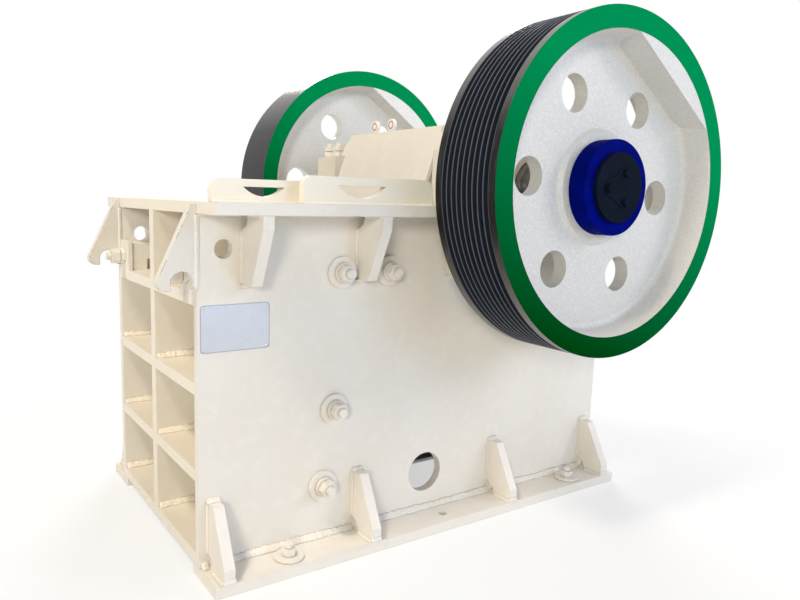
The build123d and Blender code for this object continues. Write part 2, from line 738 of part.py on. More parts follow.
def make_rear_beam():
    """Box beam across the rear that takes the toggle's thrust, open to the rear between its ribs."""
    half = -inner_face
    beam = slab(rear_beam_front, rear_beam_back, -half, half, rear_beam_bottom_z, rear_beam_top_z)
    beam -= slab(rear_beam_front + beam_wall, rear_beam_back + 1, beam_wall - half, half - beam_wall,
                 rear_beam_bottom_z + beam_wall + beam_rod_zone, rear_beam_top_z - beam_wall)
    for y in (-half / 3, half / 3):
        beam += slab(rear_beam_front + beam_wall / 2, rear_beam_back - beam_rib_inset,
                     y - beam_rib_thickness / 2, y + beam_rib_thickness / 2,
                     rear_beam_bottom_z + beam_wall / 2, rear_beam_top_z - beam_wall / 2)
    for y in (-rod_y_place, rod_y_place):
        beam -= rod_x(y, rod_z, rod_radius + rod_clearance, rear_beam_front - 1, rear_beam_back + 1)
    return beam


def make_toggle_plate():
    """Toggle plate: a flat strut with a round head along each end."""
    (x0, z0), (x1, z1) = toggle_front, toggle_rear
    length = sqrt((x1 - x0) ** 2 + (z1 - z0) ** 2)
    nx = (z0 - z1) / length * toggle_thickness / 2
    nz = (x1 - x0) / length * toggle_thickness / 2
    outline = side_outline([(x0 + nx, z0 + nz), (x1 + nx, z1 + nz), (x1 - nx, z1 - nz), (x0 - nx, z0 - nz)])
    for x, z in (toggle_front, toggle_rear):
        outline += disc(x, z, toggle_head_radius)
    return across(outline, -toggle_width / 2, toggle_width / 2)


def make_toggle_seat():
    """Thrust block with a hollow seat for the toggle's rear head."""
    x, z = toggle_rear
    half = toggle_width / 2 + seat_margin
    block = slab(x + seat_lip, seat_back, -half, half, z - seat_height / 2, z + seat_height / 2)
    return block - rod_y(x, z, toggle_head_radius + seat_gap, -half - 1, half + 1)


def make_shims():
    """Adjusting shims between the thrust block and the rear beam."""
    step = shim_total / shim_count
    half = toggle_width / 2 + shim_margin
    low = toggle_rear_z - seat_height / 2 + shim_drop
    high = toggle_rear_z + seat_height / 2 + shim_rise
    starts = [seat_back + n * step + (seat_gap if n else 0) for n in range(shim_count)]
    return [slab(start, seat_back + (n + 1) * step, -half, half, low, high) for n, start in enumerate(starts)]


def make_tension_rod():
    """Near tension rod, from the swing jaw's foot through the rear beam to its spring."""
    return rod_x(rod_y_place, rod_z, rod_radius, toggle_front[0] + rod_front_gap,
                 rear_beam_back + spring_length + rod_tail)


def make_spring():
    """Coil spring behind the rear beam, round the near tension rod."""
    pitch = (spring_length - spring_wire * 2) / spring_turns
    path = Helix(pitch, pitch * spring_turns, spring_radius - spring_wire)
    face = Plane(path @ 0, z_dir=path % 0) * Circle(spring_wire)
    spring = sweep(face, path=path, is_frenet=True)
    return Pos(spring_front + spring_wire + x_shift, rod_y_place, rod_z) * Rot(0, 90, 0) * spring


def make_spring_seats():
    """Seat washers at both ends of the near spring, the rear one with the rod's nut."""
    rim = spring_radius + spring_seat_rim
    nut_start = spring_back + spring_seat_thickness
    front = rod_x(rod_y_place, rod_z, rim, rear_beam_back, spring_front)
    rear = rod_x(rod_y_place, rod_z, rim, spring_back, nut_start)
    rear += Pos(nut_start + x_shift, rod_y_place, rod_z) * Rot(0, 90, 0) * hex_nut(*rod_nut)
    bore = rod_x(rod_y_place, rod_z, rod_radius + seat_gap, rear_beam_back - 1, nut_start + rod_nut[1] + 1)
    return [front - bore, rear - bore]


def make_grease_cap(y):
    """Round grease cap on a small stem, on the level top edge of the head guard."""
    stem_x = guard_top_x + guard_level_thickness / 2
    half_x, half_y = grease_stem[0] / 2, grease_stem[1] / 2
    middle = guard_top_z + grease_cap_rise
    stem = slab(stem_x - half_x, stem_x + half_x, y - half_y, y + half_y, guard_top_z, middle)
    return stem + rod_x(y, middle, grease_cap_radius, stem_x - grease_cap_length / 2,
                        stem_x + grease_cap_length / 2)


def make_wedge_bracket():
    """Box bracket in the near upper cell, behind a larger face plate that carries the wedge bolt."""
    wall_side = wedge_y - bracket_width / 2
    inner_side = wedge_y + bracket_width / 2
    top = bracket_z + bracket_height
    face = slab(0, bracket_face_thickness, wall_side, inner_side, bracket_z, top)
    block = slab(bracket_face_thickness, bracket_length, wall_side, inner_side - bracket_step, bracket_z,
                 top - bracket_step)
    start, length, rise, height = bracket_slot
    slot = slab(start, start + length, wedge_y + wedge_bolt_radius + bracket_step, inner_side,
                bracket_z + rise, bracket_z + rise + height)
    bore = rod_x(wedge_y, wedge_z, wedge_bolt_radius + seat_gap, -1, bracket_length + 1)
    return face + block - slot - bore


def make_wedge_bolt():
    """Bolt with two nuts, from the front wall out through its bracket."""
    bolt = rod_x(wedge_y, wedge_z, wedge_bolt_radius, -wedge_bolt_reach, cell_depth)
    for distance, height in wedge_nuts:
        nut = hex_nut(wedge_nut_width, height)
        bolt += Pos(x_shift - distance - height, wedge_y, wedge_z) * Rot(0, 90, 0) * nut
    return bolt


inner_strip = -near_face - flange_inset
wall_bottom = foot_thickness + rib_thickness
half_rib = center_rib_thickness / 2

save("near_side_plate", make_side_plate())
save("far_side_plate", mirror(make_side_plate(), about=Plane.XZ))
save("foot_plates", both_sides(make_foot_plate()))
save("top_flanges", both_sides(make_top_flange()))
save("front_top_plate", slab(0, wall_back, -inner_strip, inner_strip, flange_z, deck_z))
save("front_wall", slab(cell_depth, wall_back, inner_face, -inner_face, wall_bottom, flange_z))
save("front_bottom_plate", slab(0, wall_back, inner_face, -inner_face, foot_thickness, wall_bottom))
save("front_center_rib", slab(0, cell_depth, -half_rib, half_rib, wall_bottom, flange_z))
near_ribs = [slab(0, cell_depth, inner_face, -half_rib, z, z + rib_thickness) for z in rib_z]
save("front_cross_ribs", [solid for rib in near_ribs for solid in both_sides(rib)])
save("top_gussets", [solid for x in top_gusset_places for solid in both_sides(make_top_gusset(x))])
save("foot_gussets", [solid for x in foot_gusset_places for solid in both_sides(make_foot_gusset(x))])
save("hook_plates", both_sides(make_hook_plate()))
front_sling = make_sling_plate(front_sling_start, front_sling_length, front_sling_height, front_sling_offset,
                               front_sling_hole, front_sling_hole_x, front_sling_hole_drop, False)
rear_sling = make_sling_plate(rear_sling_start, rear_sling_length, rear_sling_height, rear_sling_offset,
                              rear_sling_hole, rear_sling_hole_x, rear_sling_hole_drop, True)
save("sling_plates", [front_sling, rear_sling])
save("cheek_plates", [solid for plate in make_cheek_plates() for solid in both_sides(plate)])
save("cheek_bolts", [solid for x, z in cheek_bolts for solid in both_sides(make_cheek_bolt(x, z))])
save("fixed_jaw_plate", make_fixed_jaw_plate())
save("near_bearing_housing", make_housing())
save("far_bearing_housing", mirror(make_housing(), about=Plane.XZ))
save("housing_bolts", [solid for bolt in make_housing_bolts() for solid in both_sides(bolt)])
save("housing_covers", both_sides(make_housing_cover()))
save("eccentric_shaft", make_shaft())
save("grooved_sheave", make_wheel(sheave_front, sheave_back, sheave_web, sheave_hub_heights,
                                  sheave_front, True))
save("flywheel", make_wheel(flywheel_back, flywheel_front, flywheel_web, flywheel_hub_heights,
                            flywheel_front, False))
save("lock_rings", [make_lock_ring(sheave_hub, -1), make_lock_ring(flywheel_hub, 1)])
save("end_caps", [make_end_cap(sheave_hub, -1), make_end_cap(flywheel_hub, 1)])
save("swing_jaw", make_swing_jaw())
save("moving_jaw_plate", make_moving_jaw_plate())
save("jaw_clamp_bar", make_jaw_clamp())
save("head_guard", make_head_guard())
save("jaw_bearing_covers", both_sides(make_jaw_cover()))
save("grease_caps", [make_grease_cap(y) for y in grease_cap_y])
save("rear_beam", make_rear_beam())
save("toggle_plate", make_toggle_plate())
save("toggle_seat", make_toggle_seat())
save("adjusting_shims", make_shims())
save("tension_rod", both_sides(make_tension_rod()))
save("tension_springs", both_sides(make_spring()))
save("spring_seats", [solid for seat in make_spring_seats() for solid in both_sides(seat)])
save("wedge_brackets", both_sides(make_wedge_bracket()))
save("wedge_bolts", both_sides(make_wedge_bolt()))
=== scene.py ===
import json
from math import cos, pi, radians, sin
import bmesh
import bpy
import numpy as np
from mathutils import Matrix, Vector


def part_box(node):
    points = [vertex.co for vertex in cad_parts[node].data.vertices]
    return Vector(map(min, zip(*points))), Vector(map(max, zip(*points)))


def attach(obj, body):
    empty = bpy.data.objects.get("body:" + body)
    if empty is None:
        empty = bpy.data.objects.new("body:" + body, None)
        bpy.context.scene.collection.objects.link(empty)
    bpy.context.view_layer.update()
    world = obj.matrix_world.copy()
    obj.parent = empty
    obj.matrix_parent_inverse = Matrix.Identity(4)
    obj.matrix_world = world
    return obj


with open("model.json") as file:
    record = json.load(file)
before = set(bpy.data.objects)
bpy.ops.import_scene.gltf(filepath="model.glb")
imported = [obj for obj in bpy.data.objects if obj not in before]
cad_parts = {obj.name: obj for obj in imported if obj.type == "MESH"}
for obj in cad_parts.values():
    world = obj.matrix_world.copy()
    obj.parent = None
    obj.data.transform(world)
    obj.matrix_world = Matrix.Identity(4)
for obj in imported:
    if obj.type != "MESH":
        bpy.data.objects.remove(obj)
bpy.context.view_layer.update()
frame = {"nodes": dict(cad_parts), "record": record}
nodes = frame["nodes"]

# places that the CAD gives
plateLow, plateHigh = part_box("near_side_plate")
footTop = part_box("foot_plates")[1].z
flangeLow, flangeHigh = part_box("top_flanges")
sheaveLow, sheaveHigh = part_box("grooved_sheave")
wheelLow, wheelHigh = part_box("flywheel")
feedX, rearX = plateLow.x, plateHigh.x
outerY, innerY = -plateLow.y, -plateHigh.y      # half widths over and between the side plates
flangeUnder, deckZ = flangeLow.z, flangeHigh.z
shaftX = (sheaveLow.x + sheaveHigh.x) / 2
shaftZ = (sheaveLow.z + sheaveHigh.z) / 2
wheelRadius = (sheaveHigh.z - sheaveLow.z) / 2
xAxis, yAxis, zAxis = (1, 0, 0), (0, 1, 0), (0, 0, 1)


def alongFrame(mm):
    return feedX + mm / 1000      # X of a point measured in millimetres from the feed end


def linear(hexCode):
    # sRGB hex to linear light: c / 12.92 below 0.04045, else ((c + 0.055) / 1.055) to the power 2.4
    c = np.array([int(hexCode[i:i + 2], 16) for i in (1, 3, 5)]) / 255
    c = np.where(c <= 0.04045, c / 12.92, ((c + 0.055) / 1.055) ** 2.4)
    return (*c.tolist(), 1.0)


def addNode(tree, kind, settings=None, values=None, links=None):
    # one shader node with its settings, its unlinked values and its incoming links; where sockets go by
    # number, Map Range has the value at 0 and its ranges at 1, 2 and 3, 4, and Mix has the share at 0 and
    # what it mixes at 6 and 7 for colours or at 2 and 3 for numbers
    node = tree.nodes.new("ShaderNode" + kind)
    for name, value in (settings or {}).items():
        setattr(node, name, value)
    for name, value in (values or {}).items():
        node.inputs[name].default_value = value
    for name, socket in (links or {}).items():
        tree.links.new(socket, node.inputs[name])
    return node


def startMaterial(name, constants):
    # the values that are steady all over the surface are set on the shader's own sockets
    material = bpy.data.materials.new(name)
    material.use_nodes = True
    tree = material.node_tree
    shader = tree.nodes["Principled BSDF"]
    for socket, value in constants.items():
        shader.inputs[socket].default_value = value
    coord = addNode(tree, "TexCoord").outputs["Object"]
    return material, tree, shader, coord


def linkShader(tree, shader, sources):
    for name, socket in sources.items():
        tree.links.new(socket, shader.inputs[name])


def perMetre(mm):
    return 1000 / mm      # noise scale whose features measure about this many millimetres


# Map Range values that all finishes share: noise into patches, into flecks and into changes of gloss, and
# how hidden a corner is into its grime and painted shade
patches, flecks, glossSpread = {1: 0.35, 2: 0.7}, {1: 0.5, 2: 0.8, 4: 0.6}, {1: 0.3, 2: 0.7}
cornerGrimeAndShade = {1: 0.75, 2: 0.3}
coatIor, edgeSamples, grimeAndShadeSamples = 1.5, 4, 5

# Alkyd enamel sprayed over rolled plate: a soft gloss with slow waves and orange peel, slightly thicker and
# yellower in places, rounded edges that catch the light, and small chips where slings and hands rub.
plateLook = {"colour": "#E8E3DA", "shade": "#E4DDD1", "bright": "#EEEAE3", "chip": "#6E675E", "broadMm": 420,
             "fineMm": 45, "peelMm": 9, "peelDepthMm": 0.06, "waveMm": 200, "waveDepthMm": 0.7,
             "specular": 0.35, "roughLow": 0.34, "roughHigh": 0.48, "edgeMm": 2.5, "edgeFlat": 0.995,
             "edgeTurned": 0.93, "chipMm": 16, "chipFrom": 0.70, "chipSoft": 0.03, "grimeAndShade": "#8E8271",
             "grimeAndShadeMm": 9, "grimeAndShadeShare": 0.28}
# the same coat yellower and a little lighter on the feed end, as painted warm light in its cells, yellower
# still and lighter on the sling plates as painted light, greyer and worn to dark steel along the hooks'
# edges, and thin with grime and painted shade in the corners on the bolts
feedWarmLitLook = {**plateLook, "colour": "#EBE4D6", "shade": "#E7DFCF", "bright": "#F0EADF"}
# painted light: the sling plates' coat is lighter and yellower to stand for the stronger light on them
slingLitPaintLook = {**plateLook, "colour": "#F4ECDC", "shade": "#EFE6D4", "bright": "#F7F1E5"}
hookLook = {**plateLook, "colour": "#E0DBD2", "shade": "#DBD5CA", "bright": "#E8E3DB", "chip": "#4E4A46",
            "edgeMm": 4.5, "chipMm": 22, "chipFrom": 0.52}
boltLook = {**plateLook, "peelDepthMm": 0.04, "waveDepthMm": 0.15, "edgeMm": 1.5, "chipFrom": 0.74,
            "grimeAndShadeMm": 14, "grimeAndShadeShare": 0.8}


def addGrimeAndShade(tree, look, colour):
    # grime, thin paint and painted shade where two pieces meet: the colour darkens where ambient occlusion
    # finds a near surface
    openness = addNode(tree, "AmbientOcclusion", {"samples": grimeAndShadeSamples},
                       {"Distance": look["grimeAndShadeMm"] / 1000}).outputs["AO"]
    share = addNode(tree, "MapRange", None, {**cornerGrimeAndShade, 4: look["grimeAndShadeShare"]}, {0: openness}).outputs[0]
    return addNode(tree, "Mix", {"data_type": "RGBA"}, {7: linear(look["grimeAndShade"])},
                   {0: share, 6: colour}).outputs[2]


def makeEnamel(name, look):
    material, tree, shader, coord = startMaterial(name,
                                                  {"IOR": coatIor, "Specular IOR Level": look["specular"]})
    broad = addNode(tree, "TexNoise", None, {"Scale": perMetre(look["broadMm"]), "Detail": 3},
                    {"Vector": coord}).outputs[0]
    fine = addNode(tree, "TexNoise", None,
                   {"Scale": perMetre(look["fineMm"]), "Detail": 4, "Roughness": 0.6},
                   {"Vector": coord}).outputs[0]
    peel = addNode(tree, "TexNoise", None, {"Scale": perMetre(look["peelMm"]), "Detail": 2},
                   {"Vector": coord}).outputs[0]
    wave = addNode(tree, "TexNoise", None, {"Scale": perMetre(look["waveMm"]), "Detail": 1},
                   {"Vector": coord}).outputs[0]
    flake = addNode(tree, "TexNoise", None,
                    {"Scale": perMetre(look["chipMm"]), "Detail": 5, "Roughness": 0.7},
                    {"Vector": coord}).outputs[0]
    thick = addNode(tree, "MapRange", None, patches, {0: broad}).outputs[0]
    thin = addNode(tree, "MapRange", None, flecks, {0: fine}).outputs[0]
    colour = addNode(tree, "Mix", {"data_type": "RGBA"},
                     {6: linear(look["colour"]), 7: linear(look["shade"])}, {0: thick}).outputs[2]
    colour = addNode(tree, "Mix", {"data_type": "RGBA"}, {7: linear(look["bright"])},
                     {0: thin, 6: colour}).outputs[2]
    # chips only where the rounded edge turns away from the flat face
    rounded = addNode(tree, "Bevel", {"samples": edgeSamples}, {"Radius": look["edgeMm"] / 1000}).outputs[0]
    flat = addNode(tree, "NewGeometry").outputs["Normal"]
    turn = addNode(tree, "VectorMath", {"operation": "DOT_PRODUCT"}, None,
                   {0: rounded, 1: flat}).outputs["Value"]
    atEdge = addNode(tree, "MapRange", None, {1: look["edgeFlat"], 2: look["edgeTurned"]},
                     {0: turn}).outputs[0]
    chipped = addNode(tree, "MapRange", None, {1: look["chipFrom"], 2: look["chipFrom"] + look["chipSoft"]},
                      {0: flake}).outputs[0]
    worn = addNode(tree, "Math", {"operation": "MULTIPLY"}, None, {0: atEdge, 1: chipped}).outputs[0]
    colour = addNode(tree, "Mix", {"data_type": "RGBA"}, {7: linear(look["chip"])},
                     {0: worn, 6: colour}).outputs[2]
    colour = addGrimeAndShade(tree, look, colour)
    rough = addNode(tree, "MapRange", None, {**glossSpread, 3: look["roughLow"], 4: look["roughHigh"]},
                    {0: fine}).outputs[0]
    waves = addNode(tree, "Bump", None, {"Distance": look["waveDepthMm"] / 1000},
                    {"Height": wave, "Normal": rounded}).outputs[0]
    skin = addNode(tree, "Bump", None, {"Distance": look["peelDepthMm"] / 1000},
                   {"Height": peel, "Normal": waves}).outputs[0]
    linkShader(tree, shader, {"Base Color": colour, "Roughness": rough, "Normal": skin})
    return material


# The same enamel over a rough ground: on sand castings the grain of the mould shows through, on weld beads
# the spatter and ripples of the run. The beads of the feed end are yellower and lighter as painted warm
# light, with less grime and painted shade in their corners than the others.
castLook = {"colour": "#E8E3D9", "shade": "#E3DCCF", "bright": "#F0ECE4", "broadMm": 300, "lumpMm": 34,
            "lumpDepthMm": 1.6, "grainMm": 8, "grainDepthMm": 0.4, "specular": 0.35, "roughLow": 0.38,
            "roughHigh": 0.55, "edgeMm": 3.0, "grimeAndShade": "#8E8271", "grimeAndShadeMm": 12, "grimeAndShadeShare": 0.5}
weldPaintLook = {**castLook, "bright": "#F6F3EC", "lumpMm": 9, "lumpDepthMm": 1.8, "grainMm": 3.5,
                 "grainDepthMm": 0.8, "roughLow": 0.30, "roughHigh": 0.5, "edgeMm": 0.8, "grimeAndShadeMm": 5,
                 "grimeAndShadeShare": 0.22}
feedWeldWarmLitLook = {**weldPaintLook, "colour": "#F1E9DA", "shade": "#EDE4D2", "bright": "#F9F3E7",
                "grimeAndShadeShare": 0.08}


def makeCastEnamel(name, look):
    material, tree, shader, coord = startMaterial(name,
                                                  {"IOR": coatIor, "Specular IOR Level": look["specular"]})
    broad = addNode(tree, "TexNoise", None, {"Scale": perMetre(look["broadMm"]), "Detail": 3},
                    {"Vector": coord}).outputs[0]
    lumps = addNode(tree, "TexNoise", None,
                    {"Scale": perMetre(look["lumpMm"]), "Detail": 3, "Roughness": 0.6},
                    {"Vector": coord}).outputs[0]
    grain = addNode(tree, "TexNoise", None,
                    {"Scale": perMetre(look["grainMm"]), "Detail": 4, "Roughness": 0.65},
                    {"Vector": coord}).outputs[0]
    thick = addNode(tree, "MapRange", None, patches, {0: broad}).outputs[0]
    high = addNode(tree, "MapRange", None, flecks, {0: grain}).outputs[0]
    colour = addNode(tree, "Mix", {"data_type": "RGBA"},
                     {6: linear(look["colour"]), 7: linear(look["shade"])}, {0: thick}).outputs[2]
    colour = addNode(tree, "Mix", {"data_type": "RGBA"}, {7: linear(look["bright"])},
                     {0: high, 6: colour}).outputs[2]
    colour = addGrimeAndShade(tree, look, colour)
    rough = addNode(tree, "MapRange", None, {**glossSpread, 3: look["roughLow"], 4: look["roughHigh"]},
                    {0: grain}).outputs[0]
    rounded = addNode(tree, "Bevel", {"samples": edgeSamples}, {"Radius": look["edgeMm"] / 1000}).outputs[0]
    body = addNode(tree, "Bump", None, {"Distance": look["lumpDepthMm"] / 1000},
                   {"Height": lumps, "Normal": rounded}).outputs[0]
    skin = addNode(tree, "Bump", None, {"Distance": look["grainDepthMm"] / 1000},
                   {"Height": grain, "Normal": body}).outputs[0]
    linkShader(tree, shader, {"Base Color": colour, "Roughness": rough, "Normal": skin})
    return material


# Each wheel is one grey-iron casting: dark enamelled grooves whose lands are lighter as worn steel with a
# painted highlight, bare turned bands beside them with a painted reflection, green enamelled faces with
# painted shade towards the bottom, and a pale web that keeps the grain of the sand mould.
wheelLook = {"groove": "#1C212A", "land": "#4C525C", "band": "#201F21", "bandReflection": "#868380",
             "face": "#018C50", "faceShade": "#003E0C", "web": "#D4D2CD", "webShade": "#C9C7C3",
             "webBright": "#E6E4E0", "faceInnerMm": 552.5, "faceSkinMm": 1.0, "landMm": 2.6,
             "landSoftMm": 1.8, "landShare": 1, "bandMm": 32, "softMm": 0.4, "lumpMm": 17,
             "lumpDepthMm": 2.4, "grainMm": 7, "grainDepthMm": 0.9, "grainMiddle": 0.52, "grainReach": 0.2,
             "grainShare": 0.8, "reflectionFrom": 0.25, "reflectionTo": 0.85, "turningMm": 2.0, "turningAlong": 0.03,
             "brightStreaks": (-0.06, 0.17), "roughStreaks": (-0.04, 0.1), "bareMetal": 0.8,
             "shadeTowards": (0.35, 0.94), "shadeFrom": 0.45, "edgeMm": 1.2, "webGloss": 0.45,
             "rimGloss": 0.2, "faceGloss": 0.0, "webRough": 0.42, "rimRough": 0.3}
# the flywheel carries no belts: its whole rim is one bare band with its own painted reflection, and its web
# is whiter as painted light where the sheave shades it
flywheelLitLook = {**wheelLook, "web": "#E8E7E4", "webShade": "#D9D8D5", "bandReflection": "#807E7D", "reflectionFrom": 0.45,
             "reflectionTo": 0.98, "bandMm": 200, "landShare": 0}


def makeWheelPaint(name, look, lowY, highY):
    # the export drops a linked specular level, and then the rim's value on the socket stands
    material, tree, shader, coord = startMaterial(name,
                                                  {"IOR": coatIor, "Specular IOR Level": look["rimGloss"]})
    # distance from the shaft's axis, and distance from the wheel's middle plane
    flat = addNode(tree, "VectorMath", {"operation": "MULTIPLY"}, {1: (1, 0, 1)}, {0: coord}).outputs[0]
    fromAxis = addNode(tree, "VectorMath", {"operation": "DISTANCE"}, {1: (shaftX, 0, shaftZ)},
                       {0: flat}).outputs["Value"]
    acrossY = addNode(tree, "SeparateXYZ", None, None, {0: coord}).outputs[1]
    offset = addNode(tree, "Math", {"operation": "SUBTRACT"}, {1: (highY + lowY) / 2},
                     {0: acrossY}).outputs[0]
    offset = addNode(tree, "Math", {"operation": "ABSOLUTE"}, None, {0: offset}).outputs[0]
    inner, half, step = look["faceInnerMm"] / 1000, (highY - lowY) / 2, look["softMm"] / 1000
    skin, land = half - look["faceSkinMm"] / 1000, wheelRadius - look["landMm"] / 1000
    band = half - look["bandMm"] / 1000
    isRim = addNode(tree, "MapRange", None, {1: inner, 2: inner + step}, {0: fromAxis}).outputs[0]
    isFace = addNode(tree, "MapRange", None, {1: skin, 2: skin + step}, {0: offset}).outputs[0]
    # the lighter crests of the grooves: worn steel with a painted highlight
    isWornAndHighlitLand = addNode(tree, "MapRange", None,
                     {1: land, 2: land + look["landSoftMm"] / 1000, 4: look["landShare"]},
                     {0: fromAxis}).outputs[0]
    isBand = addNode(tree, "MapRange", None, {1: band, 2: band + step}, {0: offset}).outputs[0]
    lumps = addNode(tree, "TexNoise", None,
                    {"Scale": perMetre(look["lumpMm"]), "Detail": 4, "Roughness": 0.6},
                    {"Vector": coord}).outputs[0]
    grain = addNode(tree, "TexNoise", None,
                    {"Scale": perMetre(look["grainMm"]), "Detail": 4, "Roughness": 0.65},
                    {"Vector": coord}).outputs[0]
    # turning marks run round the wheel, so they change mostly across it
    lines = addNode(tree, "VectorMath", {"operation": "MULTIPLY"},
                    {1: (look["turningAlong"], 1, look["turningAlong"])}, {0: coord}).outputs[0]
    turning = addNode(tree, "TexNoise", None, {"Scale": perMetre(look["turningMm"]), "Detail": 3},
                      {"Vector": lines}).outputs[0]
    middle, reach, share = look["grainMiddle"], look["grainReach"], look["grainShare"]
    low = addNode(tree, "MapRange", None, {1: middle, 2: middle - reach, 4: share}, {0: grain}).outputs[0]
    high = addNode(tree, "MapRange", None, {1: middle, 2: middle + reach, 4: share}, {0: grain}).outputs[0]
    web = addNode(tree, "Mix", {"data_type": "RGBA"}, {6: linear(look["web"]), 7: linear(look["webShade"])},
                  {0: low}).outputs[2]
    web = addNode(tree, "Mix", {"data_type": "RGBA"}, {7: linear(look["webBright"])},
                  {0: high, 6: web}).outputs[2]
    # painted reflection: the bare bands are dark at the shaft's height and brighter above and below it, with
    # fine bright streaks of the turning marks
    level = addNode(tree, "SeparateXYZ", None, None, {0: coord}).outputs[2]
    level = addNode(tree, "Math", {"operation": "SUBTRACT"}, {1: shaftZ}, {0: level}).outputs[0]
    level = addNode(tree, "Math", {"operation": "ABSOLUTE"}, None, {0: level}).outputs[0]
    paintedReflection = addNode(tree, "MapRange", None,
                     {1: look["reflectionFrom"] * wheelRadius, 2: look["reflectionTo"] * wheelRadius},
                     {0: level}).outputs[0]
    least, most = look["brightStreaks"]
    streaks = addNode(tree, "MapRange", None, {**patches, 3: least, 4: most}, {0: turning}).outputs[0]
    bright = addNode(tree, "Math", {"operation": "ADD", "use_clamp": True}, None,
                     {0: paintedReflection, 1: streaks}).outputs[0]
    # painted shade: the green darkens from a little above the shaft down to the bottom
    aside, up = look["shadeTowards"]
    height = addNode(tree, "VectorMath", {"operation": "DOT_PRODUCT"}, {1: (aside, 0, up)},
                     {0: coord}).outputs["Value"]
    shaftAt = aside * shaftX + up * shaftZ
    shaded = addNode(tree, "MapRange", None,
                     {1: shaftAt + look["shadeFrom"] * wheelRadius, 2: shaftAt - wheelRadius},
                     {0: height}).outputs[0]
    face = addNode(tree, "Mix", {"data_type": "RGBA"},
                   {6: linear(look["face"]), 7: linear(look["faceShade"])}, {0: shaded}).outputs[2]
    steel = addNode(tree, "Mix", {"data_type": "RGBA"},
                    {6: linear(look["band"]), 7: linear(look["bandReflection"])}, {0: bright}).outputs[2]
    rim = addNode(tree, "Mix", {"data_type": "RGBA"}, {6: linear(look["groove"]), 7: linear(look["land"])},
                  {0: isWornAndHighlitLand}).outputs[2]
    rim = addNode(tree, "Mix", {"data_type": "RGBA"}, None, {0: isBand, 6: rim, 7: steel}).outputs[2]
    rim = addNode(tree, "Mix", {"data_type": "RGBA"}, None, {0: isFace, 6: rim, 7: face}).outputs[2]
    colour = addNode(tree, "Mix", {"data_type": "RGBA"}, None, {0: isRim, 6: web, 7: rim}).outputs[2]
    bare = addNode(tree, "Math", {"operation": "SUBTRACT"}, None, {0: isBand, 1: isFace}).outputs[0]
    bare = addNode(tree, "Math", {"operation": "MULTIPLY", "use_clamp": True}, None,
                   {0: bare, 1: isRim}).outputs[0]
    metal = addNode(tree, "Math", {"operation": "MULTIPLY"}, {1: look["bareMetal"]}, {0: bare}).outputs[0]
    rough = addNode(tree, "Mix", {"data_type": "FLOAT"}, {2: look["webRough"], 3: look["rimRough"]},
                    {0: isRim}).outputs[0]
    least, most = look["roughStreaks"]
    marks = addNode(tree, "MapRange", None, {**glossSpread, 3: least, 4: most}, {0: turning}).outputs[0]
    rough = addNode(tree, "Math", {"operation": "ADD"}, None, {0: rough, 1: marks}).outputs[0]
    # the cast relief shows on the web only
    isCast = addNode(tree, "Math", {"operation": "SUBTRACT"}, {0: 1.0}, {1: isRim}).outputs[0]
    lumpHeight = addNode(tree, "Math", {"operation": "MULTIPLY"}, None, {0: lumps, 1: isCast}).outputs[0]
    grainHeight = addNode(tree, "Math", {"operation": "MULTIPLY"}, None, {0: grain, 1: isCast}).outputs[0]
    rounded = addNode(tree, "Bevel", {"samples": edgeSamples}, {"Radius": look["edgeMm"] / 1000}).outputs[0]
    body = addNode(tree, "Bump", None, {"Distance": look["lumpDepthMm"] / 1000},
                   {"Height": lumpHeight, "Normal": rounded}).outputs[0]
    relief = addNode(tree, "Bump", None, {"Distance": look["grainDepthMm"] / 1000},
                     {"Height": grainHeight, "Normal": body}).outputs[0]
    # the green faces are matt beside the web and the rest of the rim
    gloss = addNode(tree, "Mix", {"data_type": "FLOAT"}, {2: look["webGloss"], 3: look["rimGloss"]},
                    {0: isRim}).outputs[0]
    matt = addNode(tree, "Math", {"operation": "MULTIPLY"}, None, {0: isRim, 1: isFace}).outputs[0]
    gloss = addNode(tree, "Mix", {"data_type": "FLOAT"}, {3: look["faceGloss"]},
                    {0: matt, 2: gloss}).outputs[0]
    linkShader(tree, shader, {"Base Color": colour, "Metallic": metal, "Specular IOR Level": gloss,
                              "Roughness": rough, "Normal": relief})
    return material


# Turned or rolled steel with a film of oil: grey metal with a cloudy gloss and fine tool marks.
steelLook = {"colour": "#9A9B9D", "shade": "#85837F", "rough": 0.30, "roughLess": 0.06, "roughMore": 0.1,
             "cloudMm": 70, "grainMm": 3.0, "grainDepthMm": 0.12, "edgeMm": 1.2}
# Rolled aluminium with a satin anodised skin: pale, cool and even.
aluminiumLook = {**steelLook, "colour": "#CACBCE", "shade": "#C3C4C8", "rough": 0.42, "cloudMm": 60,
                 "grainMm": 2.0, "grainDepthMm": 0.03}


